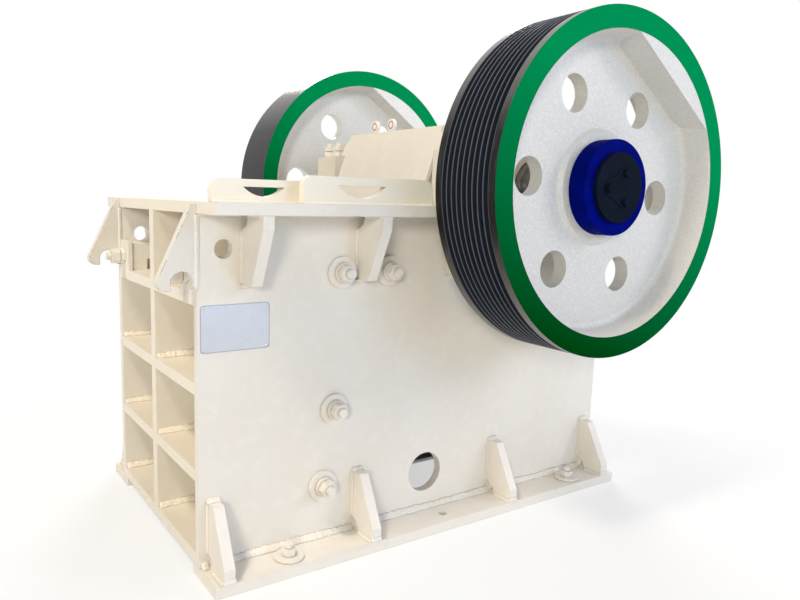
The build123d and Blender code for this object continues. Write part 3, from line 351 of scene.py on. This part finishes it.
def makeSteel(name, look):
    material, tree, shader, coord = startMaterial(name, {"Metallic": 1.0})
    cloud = addNode(tree, "TexNoise", None,
                    {"Scale": perMetre(look["cloudMm"]), "Detail": 4, "Roughness": 0.6},
                    {"Vector": coord}).outputs[0]
    grain = addNode(tree, "TexNoise", None, {"Scale": perMetre(look["grainMm"]), "Detail": 3},
                    {"Vector": coord}).outputs[0]
    patch = addNode(tree, "MapRange", None, patches, {0: cloud}).outputs[0]
    colour = addNode(tree, "Mix", {"data_type": "RGBA"},
                     {6: linear(look["colour"]), 7: linear(look["shade"])}, {0: patch}).outputs[2]
    low, high = look["rough"] - look["roughLess"], look["rough"] + look["roughMore"]
    rough = addNode(tree, "MapRange", None, {**glossSpread, 3: low, 4: high}, {0: cloud}).outputs[0]
    rounded = addNode(tree, "Bevel", {"samples": edgeSamples}, {"Radius": look["edgeMm"] / 1000}).outputs[0]
    skin = addNode(tree, "Bump", None, {"Distance": look["grainDepthMm"] / 1000},
                   {"Height": grain, "Normal": rounded}).outputs[0]
    linkShader(tree, shader, {"Base Color": colour, "Roughness": rough, "Normal": skin})
    return material


# Cast manganese steel: dark grey scale with a brown bloom and a pitted skin, dull all over.
manganeseLook = {"colour": "#5A5651", "bloom": "#6B5A48", "pit": "#3A3532", "cloudMm": 90, "pitMm": 6,
                 "pitDepthMm": 0.8, "pitFrom": 0.6, "pitTo": 0.75, "pitShare": 0.6, "metal": 0.55,
                 "roughLow": 0.45, "roughHigh": 0.7, "edgeMm": 4}


def makeManganese(name, look):
    material, tree, shader, coord = startMaterial(name, {"Metallic": look["metal"]})
    cloud = addNode(tree, "TexNoise", None,
                    {"Scale": perMetre(look["cloudMm"]), "Detail": 5, "Roughness": 0.65},
                    {"Vector": coord}).outputs[0]
    pits = addNode(tree, "TexNoise", None, {"Scale": perMetre(look["pitMm"]), "Detail": 4, "Roughness": 0.7},
                   {"Vector": coord}).outputs[0]
    patch = addNode(tree, "MapRange", None, patches, {0: cloud}).outputs[0]
    deep = addNode(tree, "MapRange", None, {1: look["pitFrom"], 2: look["pitTo"], 4: look["pitShare"]},
                   {0: pits}).outputs[0]
    colour = addNode(tree, "Mix", {"data_type": "RGBA"},
                     {6: linear(look["colour"]), 7: linear(look["bloom"])}, {0: patch}).outputs[2]
    colour = addNode(tree, "Mix", {"data_type": "RGBA"}, {7: linear(look["pit"])},
                     {0: deep, 6: colour}).outputs[2]
    rough = addNode(tree, "MapRange", None, {**glossSpread, 3: look["roughLow"], 4: look["roughHigh"]},
                    {0: pits}).outputs[0]
    rounded = addNode(tree, "Bevel", {"samples": edgeSamples}, {"Radius": look["edgeMm"] / 1000}).outputs[0]
    skin = addNode(tree, "Bump", None, {"Distance": look["pitDepthMm"] / 1000},
                   {"Height": pits, "Normal": rounded}).outputs[0]
    linkShader(tree, shader, {"Base Color": colour, "Roughness": rough, "Normal": skin})
    return material


# One even colour on small parts, as enamel on steel or as moulded polyethylene: smooth, hardly cloudy.
coatLook = {"cloudMm": 60, "peelMm": 7, "peelDepthMm": 0.06, "edgeMm": 1.5, "roughLess": 0.05,
            "roughMore": 0.07}
blueLook = {**coatLook, "colour": "#010D72", "shade": "#01095F", "rough": 0.42, "specular": 0.005}
blackLook = {**coatLook, "colour": "#0D1420", "shade": "#101826", "rough": 0.42, "specular": 0.01}
springLook = {**coatLook, "colour": "#17181A", "shade": "#222325", "rough": 0.38, "specular": 0.4}
capLook = {**coatLook, "colour": "#FBFAF9", "shade": "#F3F1F0", "rough": 0.35, "specular": 0.4}
redLook = {**coatLook, "colour": "#C4505C", "shade": "#AE3D49", "rough": 0.4, "specular": 0.4}
borderShadowLook = {**coatLook, "colour": "#9C9FA8", "shade": "#8F929B", "rough": 0.5, "specular": 0.3}


def makeEvenCoat(name, look):
    material, tree, shader, coord = startMaterial(name,
                                                  {"IOR": coatIor, "Specular IOR Level": look["specular"]})
    cloud = addNode(tree, "TexNoise", None, {"Scale": perMetre(look["cloudMm"]), "Detail": 3},
                    {"Vector": coord}).outputs[0]
    peel = addNode(tree, "TexNoise", None, {"Scale": perMetre(look["peelMm"]), "Detail": 2},
                   {"Vector": coord}).outputs[0]
    patch = addNode(tree, "MapRange", None, patches, {0: cloud}).outputs[0]
    colour = addNode(tree, "Mix", {"data_type": "RGBA"},
                     {6: linear(look["colour"]), 7: linear(look["shade"])}, {0: patch}).outputs[2]
    low, high = look["rough"] - look["roughLess"], look["rough"] + look["roughMore"]
    rough = addNode(tree, "MapRange", None, {**glossSpread, 3: low, 4: high}, {0: peel}).outputs[0]
    rounded = addNode(tree, "Bevel", {"samples": edgeSamples}, {"Radius": look["edgeMm"] / 1000}).outputs[0]
    skin = addNode(tree, "Bump", None, {"Distance": look["peelDepthMm"] / 1000},
                   {"Height": peel, "Normal": rounded}).outputs[0]
    linkShader(tree, shader, {"Base Color": colour, "Roughness": rough, "Normal": skin})
    return material


plateEnamel = makeEnamel("cream_enamel_on_plate", plateLook)
hookEnamel = makeEnamel("worn_enamel_on_hooks", hookLook)
feedWarmLitEnamel = makeEnamel("cream_enamel_painted_warm_lit_on_feed_end", feedWarmLitLook)
slingLitEnamel = makeEnamel("cream_enamel_painted_lit_on_sling_plates", slingLitPaintLook)
boltEnamel = makeEnamel("cream_enamel_on_bolts", boltLook)
castEnamel = makeCastEnamel("cream_enamel_on_castings", castLook)
weldEnamel = makeCastEnamel("cream_enamel_on_welds", weldPaintLook)
feedWeldWarmLitEnamel = makeCastEnamel("cream_enamel_painted_warm_lit_on_feed_end_welds", feedWeldWarmLitLook)
sheavePaint = makeWheelPaint("sheave_paint", wheelLook, sheaveLow.y, sheaveHigh.y)
flywheelPaint = makeWheelPaint("flywheel_paint", flywheelLitLook, wheelLow.y, wheelHigh.y)
turnedSteel = makeSteel("turned_steel", steelLook)
anodisedPlate = makeSteel("anodised_aluminium", aluminiumLook)
manganeseSteel = makeManganese("manganese_cast_steel", manganeseLook)
springCoat = makeEvenCoat("black_enamel_on_springs", springLook)
blueCoat = makeEvenCoat("blue_enamel", blueLook)
blackCoat = makeEvenCoat("black_enamel", blackLook)
capPlastic = makeEvenCoat("white_polyethylene", capLook)
redCoat = makeEvenCoat("red_cap_lacquer", redLook)
borderShadowCoat = makeEvenCoat("grey_plate_border_painted_shadow", borderShadowLook)
slotMaterials = {"frame_paint": plateEnamel, "bolt_paint": boltEnamel, "jaw_steel": manganeseSteel,
                 "cast_steel": castEnamel, "machined_steel": turnedSteel, "spring_steel": springCoat,
                 "ring_blue": blueCoat, "cap_black": blackCoat, "cap_plastic": capPlastic}
ownMaterials = {"grooved_sheave": sheavePaint, "flywheel": flywheelPaint, "near_bearing_housing": castEnamel,
                "far_bearing_housing": castEnamel, "hook_plates": hookEnamel, "front_wall": feedWarmLitEnamel,
                "front_center_rib": feedWarmLitEnamel, "front_cross_ribs": feedWarmLitEnamel,
                "front_top_plate": feedWarmLitEnamel, "front_bottom_plate": feedWarmLitEnamel,
                "sling_plates": slingLitEnamel}
for part in frame["record"]["subparts"]:
    mesh = nodes[part["node"]].data
    mesh.materials.clear()
    mesh.materials.append(ownMaterials.get(part["node"]) or slotMaterials[part["material_slot"]])
print("materials on", len(nodes), "CAD nodes")

meshLook = {"mergeWithin": 2e-6, "sliver": 1e-7}


def makeObject(name, points, faces, material, body, smooth=False):
    # a mesh at the origin from arrays of points and quads, with doubled points merged
    mesh = bpy.data.meshes.new(name)
    mesh.from_pydata(points.tolist(), [], faces.tolist())
    work = bmesh.new()
    work.from_mesh(mesh)
    bmesh.ops.remove_doubles(work, verts=work.verts, dist=meshLook["mergeWithin"])
    bmesh.ops.dissolve_degenerate(work, edges=work.edges, dist=meshLook["sliver"])
    bmesh.ops.recalc_face_normals(work, faces=work.faces)
    work.to_mesh(mesh)
    work.free()
    mesh.polygons.foreach_set("use_smooth", [smooth] * len(mesh.polygons))
    mesh.materials.append(material)
    piece = bpy.data.objects.new(name, mesh)
    bpy.context.scene.collection.objects.link(piece)
    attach(piece, body)


def gridFaces(rows, columns, offset):
    # quads between neighbouring rows and columns of a grid whose last column joins its first
    r = np.arange(rows - 1)[:, None]
    c = np.arange(columns)[None, :]
    nextC = (c + 1) % columns
    quads = np.stack([r * columns + c, r * columns + nextC, (r + 1) * columns + nextC,
                      (r + 1) * columns + c], -1)
    return quads.reshape(-1, 4) + offset


def joinGrids(grids):
    # several closed grids as one pair of arrays
    offsets = np.cumsum([0] + [grid.shape[0] * grid.shape[1] for grid in grids])
    points = np.concatenate([grid.reshape(-1, 3) for grid in grids])
    faces = np.concatenate([gridFaces(grid.shape[0], grid.shape[1], k) for grid, k in zip(grids, offsets)])
    return points, faces


def turnedGrid(profile, steps, centre, axis, across1, across2):
    # a profile of (radius r, height h) turned about an axis: centre + axis h + r (u cos a + v sin a)
    profile = np.array(profile)
    a = np.linspace(0, 2 * pi, steps, endpoint=False)
    ring = np.cos(a)[:, None] * np.array(across1) + np.sin(a)[:, None] * np.array(across2)
    return (np.array(centre) + profile[:, 1, None, None] * np.array(axis)
            + profile[:, 0, None, None] * ring[None])


def discProfile(radius, height, chamfer):
    # profile of one disc with chamfered edges, closed on the axis at both ends
    return [(0, 0), (radius - chamfer, 0), (radius, chamfer), (radius, height - chamfer),
            (radius - chamfer, height), (0, height)]


# a hexagon's corner radius is its width over flats divided by this
flatsToCorner = 1.732

# weld beads: the legs in millimetres of each kind of bead, and how rough the run is
weldLook = {"footMm": 21, "flangeMm": 11, "gussetMm": 7, "gussetRootMm": 11, "tipMm": 15, "toeMm": (5, 19),
            "cellFloorMm": 20, "cellMm": 8, "slingMm": 8, "seamMm": (9, 3), "stepMm": 3.2, "cellStepMm": 4.5,
            "ripplePitchMm": 11, "ripple": 0.06, "rippleLag": 0.35, "lumpMm": 7, "lump": 0.17,
            "wanderMm": 70, "wander": 0.14, "flatten": 0.23, "root": 0.02, "sides": 7, "knotsAcross": 4,
            "endMm": 5, "shortest": 0.03}
calmLook = {**weldLook, "lump": 0.10, "ripple": 0.04, "wander": 0.10}
chance = np.random.default_rng(7)


def evenLegs(key):
    return (weldLook[key],) * 2


def weldBead(start, end, sideA, sideB, legs, stepMm=weldLook["stepMm"], look=weldLook):
    # a rough bead in a corner: at distance s its section is corner + r(s, a)(A cos a + B sin a) with A and B
    # as long as the legs; r is one, plus a ripple whose phase is ahead in the middle, plus random lumps on a
    # coarse grid of s and a, plus a slow wander, flattened in the middle, and it is nothing at the ends
    start, end = np.array(start, float), np.array(end, float)
    sideA, sideB = np.array(sideA) * legs[0] / 1000, np.array(sideB) * legs[1] / 1000
    length = np.linalg.norm(end - start)
    s = np.linspace(0, length, max(6, int(length / stepMm * 1000)))
    a = np.linspace(0, pi / 2, look["sides"])
    knots = max(3, int(length / look["lumpMm"] * 1000))
    slowKnots = max(3, int(length / look["wanderMm"] * 1000))
    across = look["knotsAcross"]
    lumps = np.stack([np.interp(s, np.linspace(0, length, knots), chance.uniform(-1, 1, knots))
                      for n in range(across)], 1)
    hats = np.maximum(0, 1 - np.abs(a[None] * (2 * (across - 1)) / pi - np.arange(across)[:, None]))
    slow = np.interp(s, np.linspace(0, length, slowKnots), chance.uniform(-1, 1, slowKnots))
    lag = np.sin(2 * a)[None] * look["rippleLag"]
    wave = np.sin(2 * pi * (s[:, None] * 1000 / look["ripplePitchMm"] + lag + chance.uniform()))
    r = 1 + look["ripple"] * wave + look["lump"] * (lumps @ hats) + look["wander"] * slow[:, None]
    ends = np.clip(np.minimum(s, length - s) * 1000 / look["endMm"], 0, 1) ** 0.5
    r = r * (1 - look["flatten"] * np.sin(2 * a)) * ends[:, None]
    spine = (start + s[:, None] * (end - start) / length)[:, None]
    arc = spine + r[..., None] * (np.cos(a)[:, None] * sideA + np.sin(a)[:, None] * sideB)
    corner = spine - look["root"] * (sideA + sideB) * ends[:, None, None]
    return np.concatenate([arc, corner], 1)


def seamBead(start, end, along, out, legs):
    # a butt seam's cap on a flat face: a bead on each side of its middle line
    back = tuple(-v for v in along)
    return [weldBead(start, end, along, out, legs), weldBead(start, end, back, out, legs)]


def stretches(low, high, centres, halfWidth):
    # the parts of low..high that lie outside the pieces centred on the given places
    cuts = [low] + [v for c in sorted(centres) for v in (c - halfWidth, c + halfWidth)] + [high]
    return [(a, b) for a, b in zip(cuts[::2], cuts[1::2]) if b - a > weldLook["shortest"]]


# where the gussets stand along the frame, the scallops at their weld corners, and the bearing seat that
# breaks the bead under the flange; in metres, how far the beads stop from a plate's end, run under a gusset
# and pass its edges, and where the hooks' seams start and end below the flange
gussetLook = {"footMm": [50, 634, 1341, 1935], "topMm": [175, 630, 1065, 1800], "halfMm": 20,
              "scallopMm": 48, "seatMm": 235, "endGap": 0.003, "under": 0.004, "pastTip": 0.008,
              "pastToe": 0.006, "flangeShortest": 0.05, "seamTop": 0.002, "seamFoot": 0.243}
footGussetLow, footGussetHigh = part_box("foot_gussets")
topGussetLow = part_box("top_gussets")[0]
footReach, topReach = -footGussetLow.y - outerY, -topGussetLow.y - outerY
footX = [alongFrame(x) for x in gussetLook["footMm"]]
topX = [alongFrame(x) for x in gussetLook["topMm"]]
half, scallop, seat = (gussetLook[key] / 1000 for key in ("halfMm", "scallopMm", "seatMm"))
plateFrom, plateTo = feedX + gussetLook["endGap"], rearX - gussetLook["endGap"]
pastTip, pastToe = gussetLook["pastTip"], gussetLook["pastToe"]
foot, flange, flank, tip, root = (evenLegs(key) for key in ("footMm", "flangeMm", "gussetMm", "tipMm",
                                                            "gussetRootMm"))
up, down = (0, 0, 1), (0, 0, -1)
sideBeads = []
for side in (-1, 1):
    out, wall = (0, side, 0), side * outerY
    for a, b in stretches(plateFrom, plateTo, footX, half - gussetLook["under"]):
        sideBeads.append(weldBead((a, wall, footTop), (b, wall, footTop), out, up, foot))
    for a, b in stretches(plateFrom, plateTo, topX, half - gussetLook["under"]):
        for c, d in ((a, min(b, shaftX - seat)), (max(a, shaftX + seat), b)):
            if d - c > gussetLook["flangeShortest"]:
                sideBeads.append(weldBead((c, wall, flangeUnder), (d, wall, flangeUnder), out, down, flange))
    runs = [(x, footTop, footGussetHigh.z, footReach, up) for x in footX]
    runs += [(x, flangeUnder, topGussetLow.z, topReach, down) for x in topX]
    for x, level, end, reach, away in runs:
        clear = level + scallop * away[2]
        for edge in (-1, 1):
            along, face = (edge, 0, 0), x + edge * half
            sideBeads.append(weldBead((face, wall, clear), (face, wall, end), along, out, flank,
                                      look=calmLook))
            sideBeads.append(weldBead((face, wall + side * scallop, level),
                                      (face, wall + side * reach, level), along, away, root, look=calmLook))
        sideBeads.append(weldBead((x - half - pastTip, wall, end), (x + half + pastTip, wall, end), out,
                                  away, tip))
    for x in footX:
        front = wall + side * footReach
        sideBeads.append(weldBead((x - half - pastToe, front, footTop), (x + half + pastToe, front, footTop),
                                  out, up, weldLook["toeMm"]))
    # hooks: butt seams up both faces of the side plate's front edge
    for face, outward in ((wall, out), (side * innerY, (0, -side, 0))):
        sideBeads += seamBead((feedX, face, flangeUnder - gussetLook["seamFoot"]),
                              (feedX, face, flangeUnder - gussetLook["seamTop"]), xAxis, outward,
                              weldLook["seamMm"])
points, faces = joinGrids(sideBeads)
makeObject("side_welds", points, faces, weldEnamel, "frame", True)
print("side welds", len(sideBeads), "faces", len(faces))

# the ribbed feed end: heavy beads on each cell's floor, lighter ones up its corners and under its roof
cellLook = {"ribs": 3, "ribMm": 40, "frontGap": 0.004}
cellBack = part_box("front_wall")[0].x
cellFront = feedX + cellLook["frontGap"]
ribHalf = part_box("front_center_rib")[1].y
crossLow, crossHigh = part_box("front_cross_ribs")
pitch = (crossHigh.z - cellLook["ribMm"] / 1000 - crossLow.z) / (cellLook["ribs"] - 1)
ribZ = [crossLow.z + pitch * n for n in range(cellLook["ribs"])]
floors = [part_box("front_bottom_plate")[1].z] + [z + cellLook["ribMm"] / 1000 for z in ribZ]
roofs = ribZ + [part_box("front_top_plate")[0].z]
heavy, light, step = evenLegs("cellFloorMm"), evenLegs("cellMm"), weldLook["cellStepMm"]
forward = (-1, 0, 0)
cellBeads = []
for side in (-1, 1):
    walls = ((side * innerY, (0, -side, 0)), (side * ribHalf, (0, side, 0)))
    for low, high in zip(floors, roofs):
        for z, vertical, legs in ((low, up, heavy), (high, down, light)):
            for y, away in walls:
                cellBeads.append(weldBead((cellFront, y, z), (cellBack, y, z), away, vertical, legs, step))
            cellBeads.append(weldBead((cellBack, side * ribHalf, z), (cellBack, side * innerY, z), forward,
                                      vertical, legs, step))
        for y, away in walls:
            cellBeads.append(weldBead((cellBack, y, low), (cellBack, y, high), forward, away, light, step))
points, faces = joinGrids(cellBeads)
makeObject("feed_end_welds", points, faces, feedWeldWarmLitEnamel, "frame", True)
print("feed end welds", len(cellBeads), "faces", len(faces))

# beads along both feet of each sling plate on the near flange: start, end and outer offset in millimetres
slingLook = {"plates": ((20, 350, 74), (306, 838, 144)), "thickMm": 28, "endLegMm": 1}
slingBeads = []
slingLegs = evenLegs("slingMm")
for start, end, offset in slingLook["plates"]:
    outer = -outerY - offset / 1000
    inner = outer + slingLook["thickMm"] / 1000
    for y, away in ((outer, (0, -1, 0)), (inner, (0, 1, 0))):
        slingBeads.append(weldBead((alongFrame(start), y, deckZ), (alongFrame(end), y, deckZ), away, zAxis,
                                   slingLegs))
    for x, away in ((alongFrame(start), (-1, 0, 0)), (alongFrame(end), (1, 0, 0))):
        slingBeads.append(weldBead((x, outer, deckZ), (x, inner, deckZ), away, zAxis,
                                   (slingLook["endLegMm"], slingLegs[1])))
points, faces = joinGrids(slingBeads)
makeObject("sling_welds", points, faces, weldEnamel, "frame", True)
print("sling welds", len(slingBeads))

# foundation bolts with their washers, in the feed and rear holes of each foot
anchorLook = {"holesMm": [300, 1750], "offset": 0.082, "washer": (0.054, 0.010), "nutFlats": 0.046,
              "nutHeight": 0.026, "stud": (0.0145, 0.016), "chamfer": 0.0012, "turn": 0.3}
anchors = []
for side in (-1, 1):
    for mm in anchorLook["holesMm"]:
        x, y, z = alongFrame(mm), side * (outerY + anchorLook["offset"]), footTop
        turn = anchorLook["turn"] * mm      # each nut stands at its own angle
        tiers = ((*anchorLook["washer"], 48, xAxis, yAxis),
                 (anchorLook["nutFlats"] / flatsToCorner, anchorLook["nutHeight"], 6,
                  (cos(turn), sin(turn), 0), (-sin(turn), cos(turn), 0)),
                 (*anchorLook["stud"], 24, xAxis, yAxis))
        for radius, height, steps, u, v in tiers:
            anchors.append(turnedGrid(discProfile(radius, height, anchorLook["chamfer"]), steps, (x, y, z),
                                      zAxis, u, v))
            z += height
points, faces = joinGrids(anchors)
makeObject("foundation_bolts", points, faces, boltEnamel, "frame")
print("foundation bolts", len(anchors) // 3)

# bare name plate: a thin sheet with rounded corners, four rivets, and a grey border line inset close to its
# edge that is painted shade for the thin shadow round the plate
nameLook = {"lowMm": (8, 789), "highMm": (258, 950), "thickness": 0.0012, "power": 24, "steps": 192,
            "buried": 0.0002, "rounding": 0.0004, "borderIn": 0.0015, "borderWidth": 0.0014,
            "borderHeight": 0.0003, "borderBuried": 0.0001, "rivetIn": 0.010, "rivet": 0.004,
            "rivetDome": 0.55, "rivetBuried": 0.0004}
x0, x1 = alongFrame(nameLook["lowMm"][0]), alongFrame(nameLook["highMm"][0])
z0, z1 = nameLook["lowMm"][1] / 1000, nameLook["highMm"][1] / 1000
yFace = -outerY - nameLook["thickness"]
t = np.linspace(0, 2 * pi, nameLook["steps"], endpoint=False)


def plateRing(inset, y):
    # superellipse |x / a|^p + |z / b|^p = 1 whose half widths a and b are smaller by the inset
    p = nameLook["power"]
    r = (np.abs(np.cos(t)) ** p + np.abs(np.sin(t)) ** p) ** (-1 / p)
    a, b = max((x1 - x0) / 2 - inset, 0), max((z1 - z0) / 2 - inset, 0)
    return np.stack([(x0 + x1) / 2 + a * r * np.cos(t), np.full_like(t, y),
                     (z0 + z1) / 2 + b * r * np.sin(t)], -1)


toMiddle, buried, rounding = x1 - x0, -outerY + nameLook["buried"], nameLook["rounding"]
sheet = np.stack([plateRing(toMiddle, buried), plateRing(0, buried), plateRing(0, yFace + rounding),
                  plateRing(rounding, yFace), plateRing(toMiddle, yFace)])
rivets = []
# a rivet's head is a quarter ellipse turned about its axis
dome = [(0, -nameLook["rivetBuried"])]
dome += [(nameLook["rivet"] * cos(v), nameLook["rivet"] * nameLook["rivetDome"] * sin(v))
         for v in np.linspace(0, pi / 2, 5)]
for x in (x0 + nameLook["rivetIn"], x1 - nameLook["rivetIn"]):
    for z in (z0 + nameLook["rivetIn"], z1 - nameLook["rivetIn"]):
        rivets.append(turnedGrid(dome, 16, (x, yFace, z), (0, -1, 0), xAxis, zAxis))
points, faces = joinGrids([sheet] + rivets)
makeObject("bare_name_plate", points, faces, anodisedPlate, "frame")
# the grey border line stands for the plate's thin shadow: painted shade
inner, outer = nameLook["borderIn"] + nameLook["borderWidth"], nameLook["borderIn"]
lineFoot, lineFace = yFace + nameLook["borderBuried"], yFace - nameLook["borderHeight"]
border = np.stack([plateRing(inner, lineFoot), plateRing(outer, lineFoot), plateRing(outer, lineFace),
                   plateRing(inner, lineFace), plateRing(inner, lineFoot)])
points, faces = joinGrids([border])
makeObject("name_plate_border_painted_shadow", points, faces, borderShadowCoat, "frame")
print("name plate")

# three bolts over a rounded lock plate on each end cap; in polar form the plate is
# circle x (mean + wave x cos 3(a - phase))
endLook = {"circle": 0.062, "phase": 62, "flats": 0.030, "height": 0.010, "lockThickness": 0.003,
           "lockMean": 1.08, "lockWave": 0.24, "lockSteps": 72, "buried": 0.0003, "chamfer": 0.0012,
           "turn": 0.4}
endPieces = []
capLow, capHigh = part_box("end_caps")
phase = radians(endLook["phase"])
a = np.linspace(0, 2 * pi, endLook["lockSteps"], endpoint=False)
r = endLook["circle"] * (endLook["lockMean"] + endLook["lockWave"] * np.cos(3 * (a - phase)))
rim = np.stack([r * np.cos(a), np.zeros_like(a), r * np.sin(a)], -1)
levels = ((0, -endLook["buried"]), (1, -endLook["buried"]), (1, endLook["lockThickness"]),
          (0, endLook["lockThickness"]))
for side, y in ((-1, capLow.y), (1, capHigh.y)):
    endPieces.append(np.stack([np.array([shaftX, y + side * h, shaftZ]) + rim * k for k, h in levels]))
    for n in range(3):
        angle, turn = phase + 2 * pi / 3 * n, endLook["turn"] + n
        spot = (shaftX + endLook["circle"] * cos(angle), y + side * endLook["lockThickness"],
                shaftZ + endLook["circle"] * sin(angle))
        head = discProfile(endLook["flats"] / flatsToCorner, endLook["height"], endLook["chamfer"])
        endPieces.append(turnedGrid(head, 6, spot, (0, side, 0), (cos(turn), 0, sin(turn)),
                                    (-sin(turn), 0, cos(turn))))
points, faces = joinGrids(endPieces)
makeObject("cap_bolts", points, faces, blackCoat, "shaft")
print("cap bolts")

# thin red ring on the feed side of each grease cap
ringLook = {"inner": 0.0135, "outer": 0.0180, "height": 0.0006, "buried": 0.0003, "capRadius": 0.027}
greaseLow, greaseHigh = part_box("grease_caps")
capRadius = ringLook["capRadius"]
rings = []
for y in (greaseLow.y + capRadius, greaseHigh.y - capRadius):
    profile = [(ringLook["inner"], -ringLook["buried"]), (ringLook["outer"], -ringLook["buried"]),
               (ringLook["outer"], ringLook["height"]), (ringLook["inner"], ringLook["height"]),
               (ringLook["inner"], -ringLook["buried"])]
    rings.append(turnedGrid(profile, 40, (greaseLow.x, y, greaseHigh.z - capRadius), (-1, 0, 0), yAxis,
                            zAxis))
points, faces = joinGrids(rings)
makeObject("cap_rings", points, faces, redCoat, "swing_jaw")
print("cap rings")

# floor: matt white that keeps the object's shadow near it and turns plain white further out
stageLook = {"floor": "#F4F4F3", "shadowNear": 0.40, "nearM": 1.2, "farM": 2.6, "halfM": 30,
             "belowM": 0.0005}


def makeStage(name, look):
    material = bpy.data.materials.new(name)
    material.use_nodes = True
    tree = material.node_tree
    tree.nodes.clear()
    path = addNode(tree, "LightPath").outputs
    coord = addNode(tree, "TexCoord").outputs["Object"]
    seen = addNode(tree, "Math", {"operation": "MAXIMUM"}, None,
                   {0: path["Is Camera Ray"], 1: path["Is Glossy Ray"]}).outputs[0]
    seen = addNode(tree, "Math", {"operation": "MAXIMUM"}, None,
                   {0: seen, 1: path["Is Transmission Ray"]}).outputs[0]
    away = addNode(tree, "VectorMath", {"operation": "LENGTH"}, None, {0: coord}).outputs["Value"]
    white = addNode(tree, "MapRange", {"interpolation_type": "SMOOTHSTEP"},
                    {1: look["nearM"], 2: look["farM"], 3: 1 - look["shadowNear"], 4: 1.0},
                    {0: away}).outputs[0]
    factor = addNode(tree, "Math", {"operation": "MULTIPLY"}, None, {0: white, 1: seen}).outputs[0]
    matt = addNode(tree, "BsdfDiffuse", None, {"Color": linear(look["floor"])}).outputs[0]
    glow = addNode(tree, "Emission", None, {"Color": (1, 1, 1, 1), "Strength": 1.0}).outputs[0]
    mixed = addNode(tree, "MixShader", None, None, {0: factor, 1: matt, 2: glow}).outputs[0]
    addNode(tree, "OutputMaterial", None, None, {"Surface": mixed})
    return material


reachM, belowM = stageLook["halfM"], stageLook["belowM"]
floorMesh = bpy.data.meshes.new("studio_floor")
floorMesh.from_pydata([(x * reachM, y * reachM, -belowM) for x, y in ((-1, -1), (1, -1), (1, 1), (-1, 1))],
                      [], [(0, 1, 2, 3)])
floorMesh.materials.append(makeStage("studio_floor_paint", stageLook))
floor = bpy.data.objects.new("studio_floor", floorMesh)
bpy.context.scene.collection.objects.link(floor)

# even room light; what the camera and reflections see of it is plain white
skyLook = {"level": 0.20, "seen": 1.0}
world = bpy.data.worlds.new("studio")
bpy.context.scene.world = world
world.use_nodes = True
sky = world.node_tree
sky.nodes.clear()
skyPath = addNode(sky, "LightPath").outputs
skySeen = addNode(sky, "Math", {"operation": "MAXIMUM"}, None,
                  {0: skyPath["Is Camera Ray"], 1: skyPath["Is Glossy Ray"]}).outputs[0]
skySeen = addNode(sky, "Math", {"operation": "MAXIMUM"}, None,
                  {0: skySeen, 1: skyPath["Is Transmission Ray"]}).outputs[0]
ambient = addNode(sky, "Background", None, {"Color": (1, 1, 1, 1), "Strength": skyLook["level"]}).outputs[0]
white = addNode(sky, "Background", None, {"Color": (1, 1, 1, 1), "Strength": skyLook["seen"]}).outputs[0]
skyMix = addNode(sky, "MixShader", None, None, {0: skySeen, 1: ambient, 2: white}).outputs[0]
addNode(sky, "OutputWorld", None, None, {"Surface": skyMix})

# place, width in metres, watts and colour of each lamp: the main one far off beside the camera, a cool one
# towards the near side, a warm one high before the feed end, and two nearly neutral ones beside the sheave
# and behind the machine
lamps = {"main": ((-13.8, -15.5, 5.9), 3.8, 1530, (1.0, 0.97, 0.86)),
         "near": ((2.2, -8.0, 3.2), 3.2, 155, (0.38, 0.62, 1.0)),
         "high": ((-4.4, -1.2, 7.6), 1.2, 400, (1.0, 0.885, 0.75)),
         "right": ((7.0, -6.5, 4.5), 3.5, 255, (1.0, 0.95, 1.0)),
         "rear": ((3.5, 5.5, 3.5), 3.5, 450, (1.0, 1.0, 1.0))}
target = np.array([0.0, 0.0, 0.8])
for name, (spot, width, power, colour) in lamps.items():
    lamp = bpy.data.lights.new(name, "AREA")
    lamp.shape = "SQUARE"
    lamp.size = width
    lamp.energy = power
    lamp.color = colour
    holder = bpy.data.objects.new(name + "_lamp", lamp)
    # a lamp shines along its own -Z, so Z points from the target to the lamp
    z = np.array(spot) - target
    z = z / np.linalg.norm(z)
    x = np.cross(zAxis, z)
    x = x / np.linalg.norm(x)
    y = np.cross(z, x)
    holder.matrix_world = Matrix([[x[i], y[i], z[i], spot[i]] for i in range(3)] + [[0, 0, 0, 1]])
    bpy.context.scene.collection.objects.link(holder)

# the photograph's own viewpoint, solved from its straight edges: angles in radians with pitch downwards, and
# focal length, centre and width in pixels
view = {"place": (-1.8147, -2.6519, 1.3072), "yaw": 0.578338, "pitch": 0.143433, "roll": -0.024654,
        "focal": 702.4, "centreX": 359.0, "width": 800, "sensor": 36}
ahead = np.array([sin(view["yaw"]) * cos(view["pitch"]), cos(view["yaw"]) * cos(view["pitch"]),
                  -sin(view["pitch"])])
right = np.array([cos(view["yaw"]), -sin(view["yaw"]), 0])
downward = np.cross(ahead, right)
rolledRight = cos(view["roll"]) * right + sin(view["roll"]) * downward
rolledUp = sin(view["roll"]) * right - cos(view["roll"]) * downward
cameraData = bpy.data.cameras.new("photo_view")
cameraData.sensor_width = view["sensor"]
cameraData.lens = view["focal"] / view["width"] * view["sensor"]
cameraData.shift_x = 0.5 - view["centreX"] / view["width"]
camera = bpy.data.objects.new("photo_view", cameraData)
camera.matrix_world = Matrix([[rolledRight[i], rolledUp[i], -ahead[i], view["place"][i]] for i in range(3)]
                             + [[0, 0, 0, 1]])
bpy.context.scene.collection.objects.link(camera)
bpy.context.scene.camera = camera
bpy.context.scene.view_settings.view_transform = "Standard"
print("floor, lamps and camera")
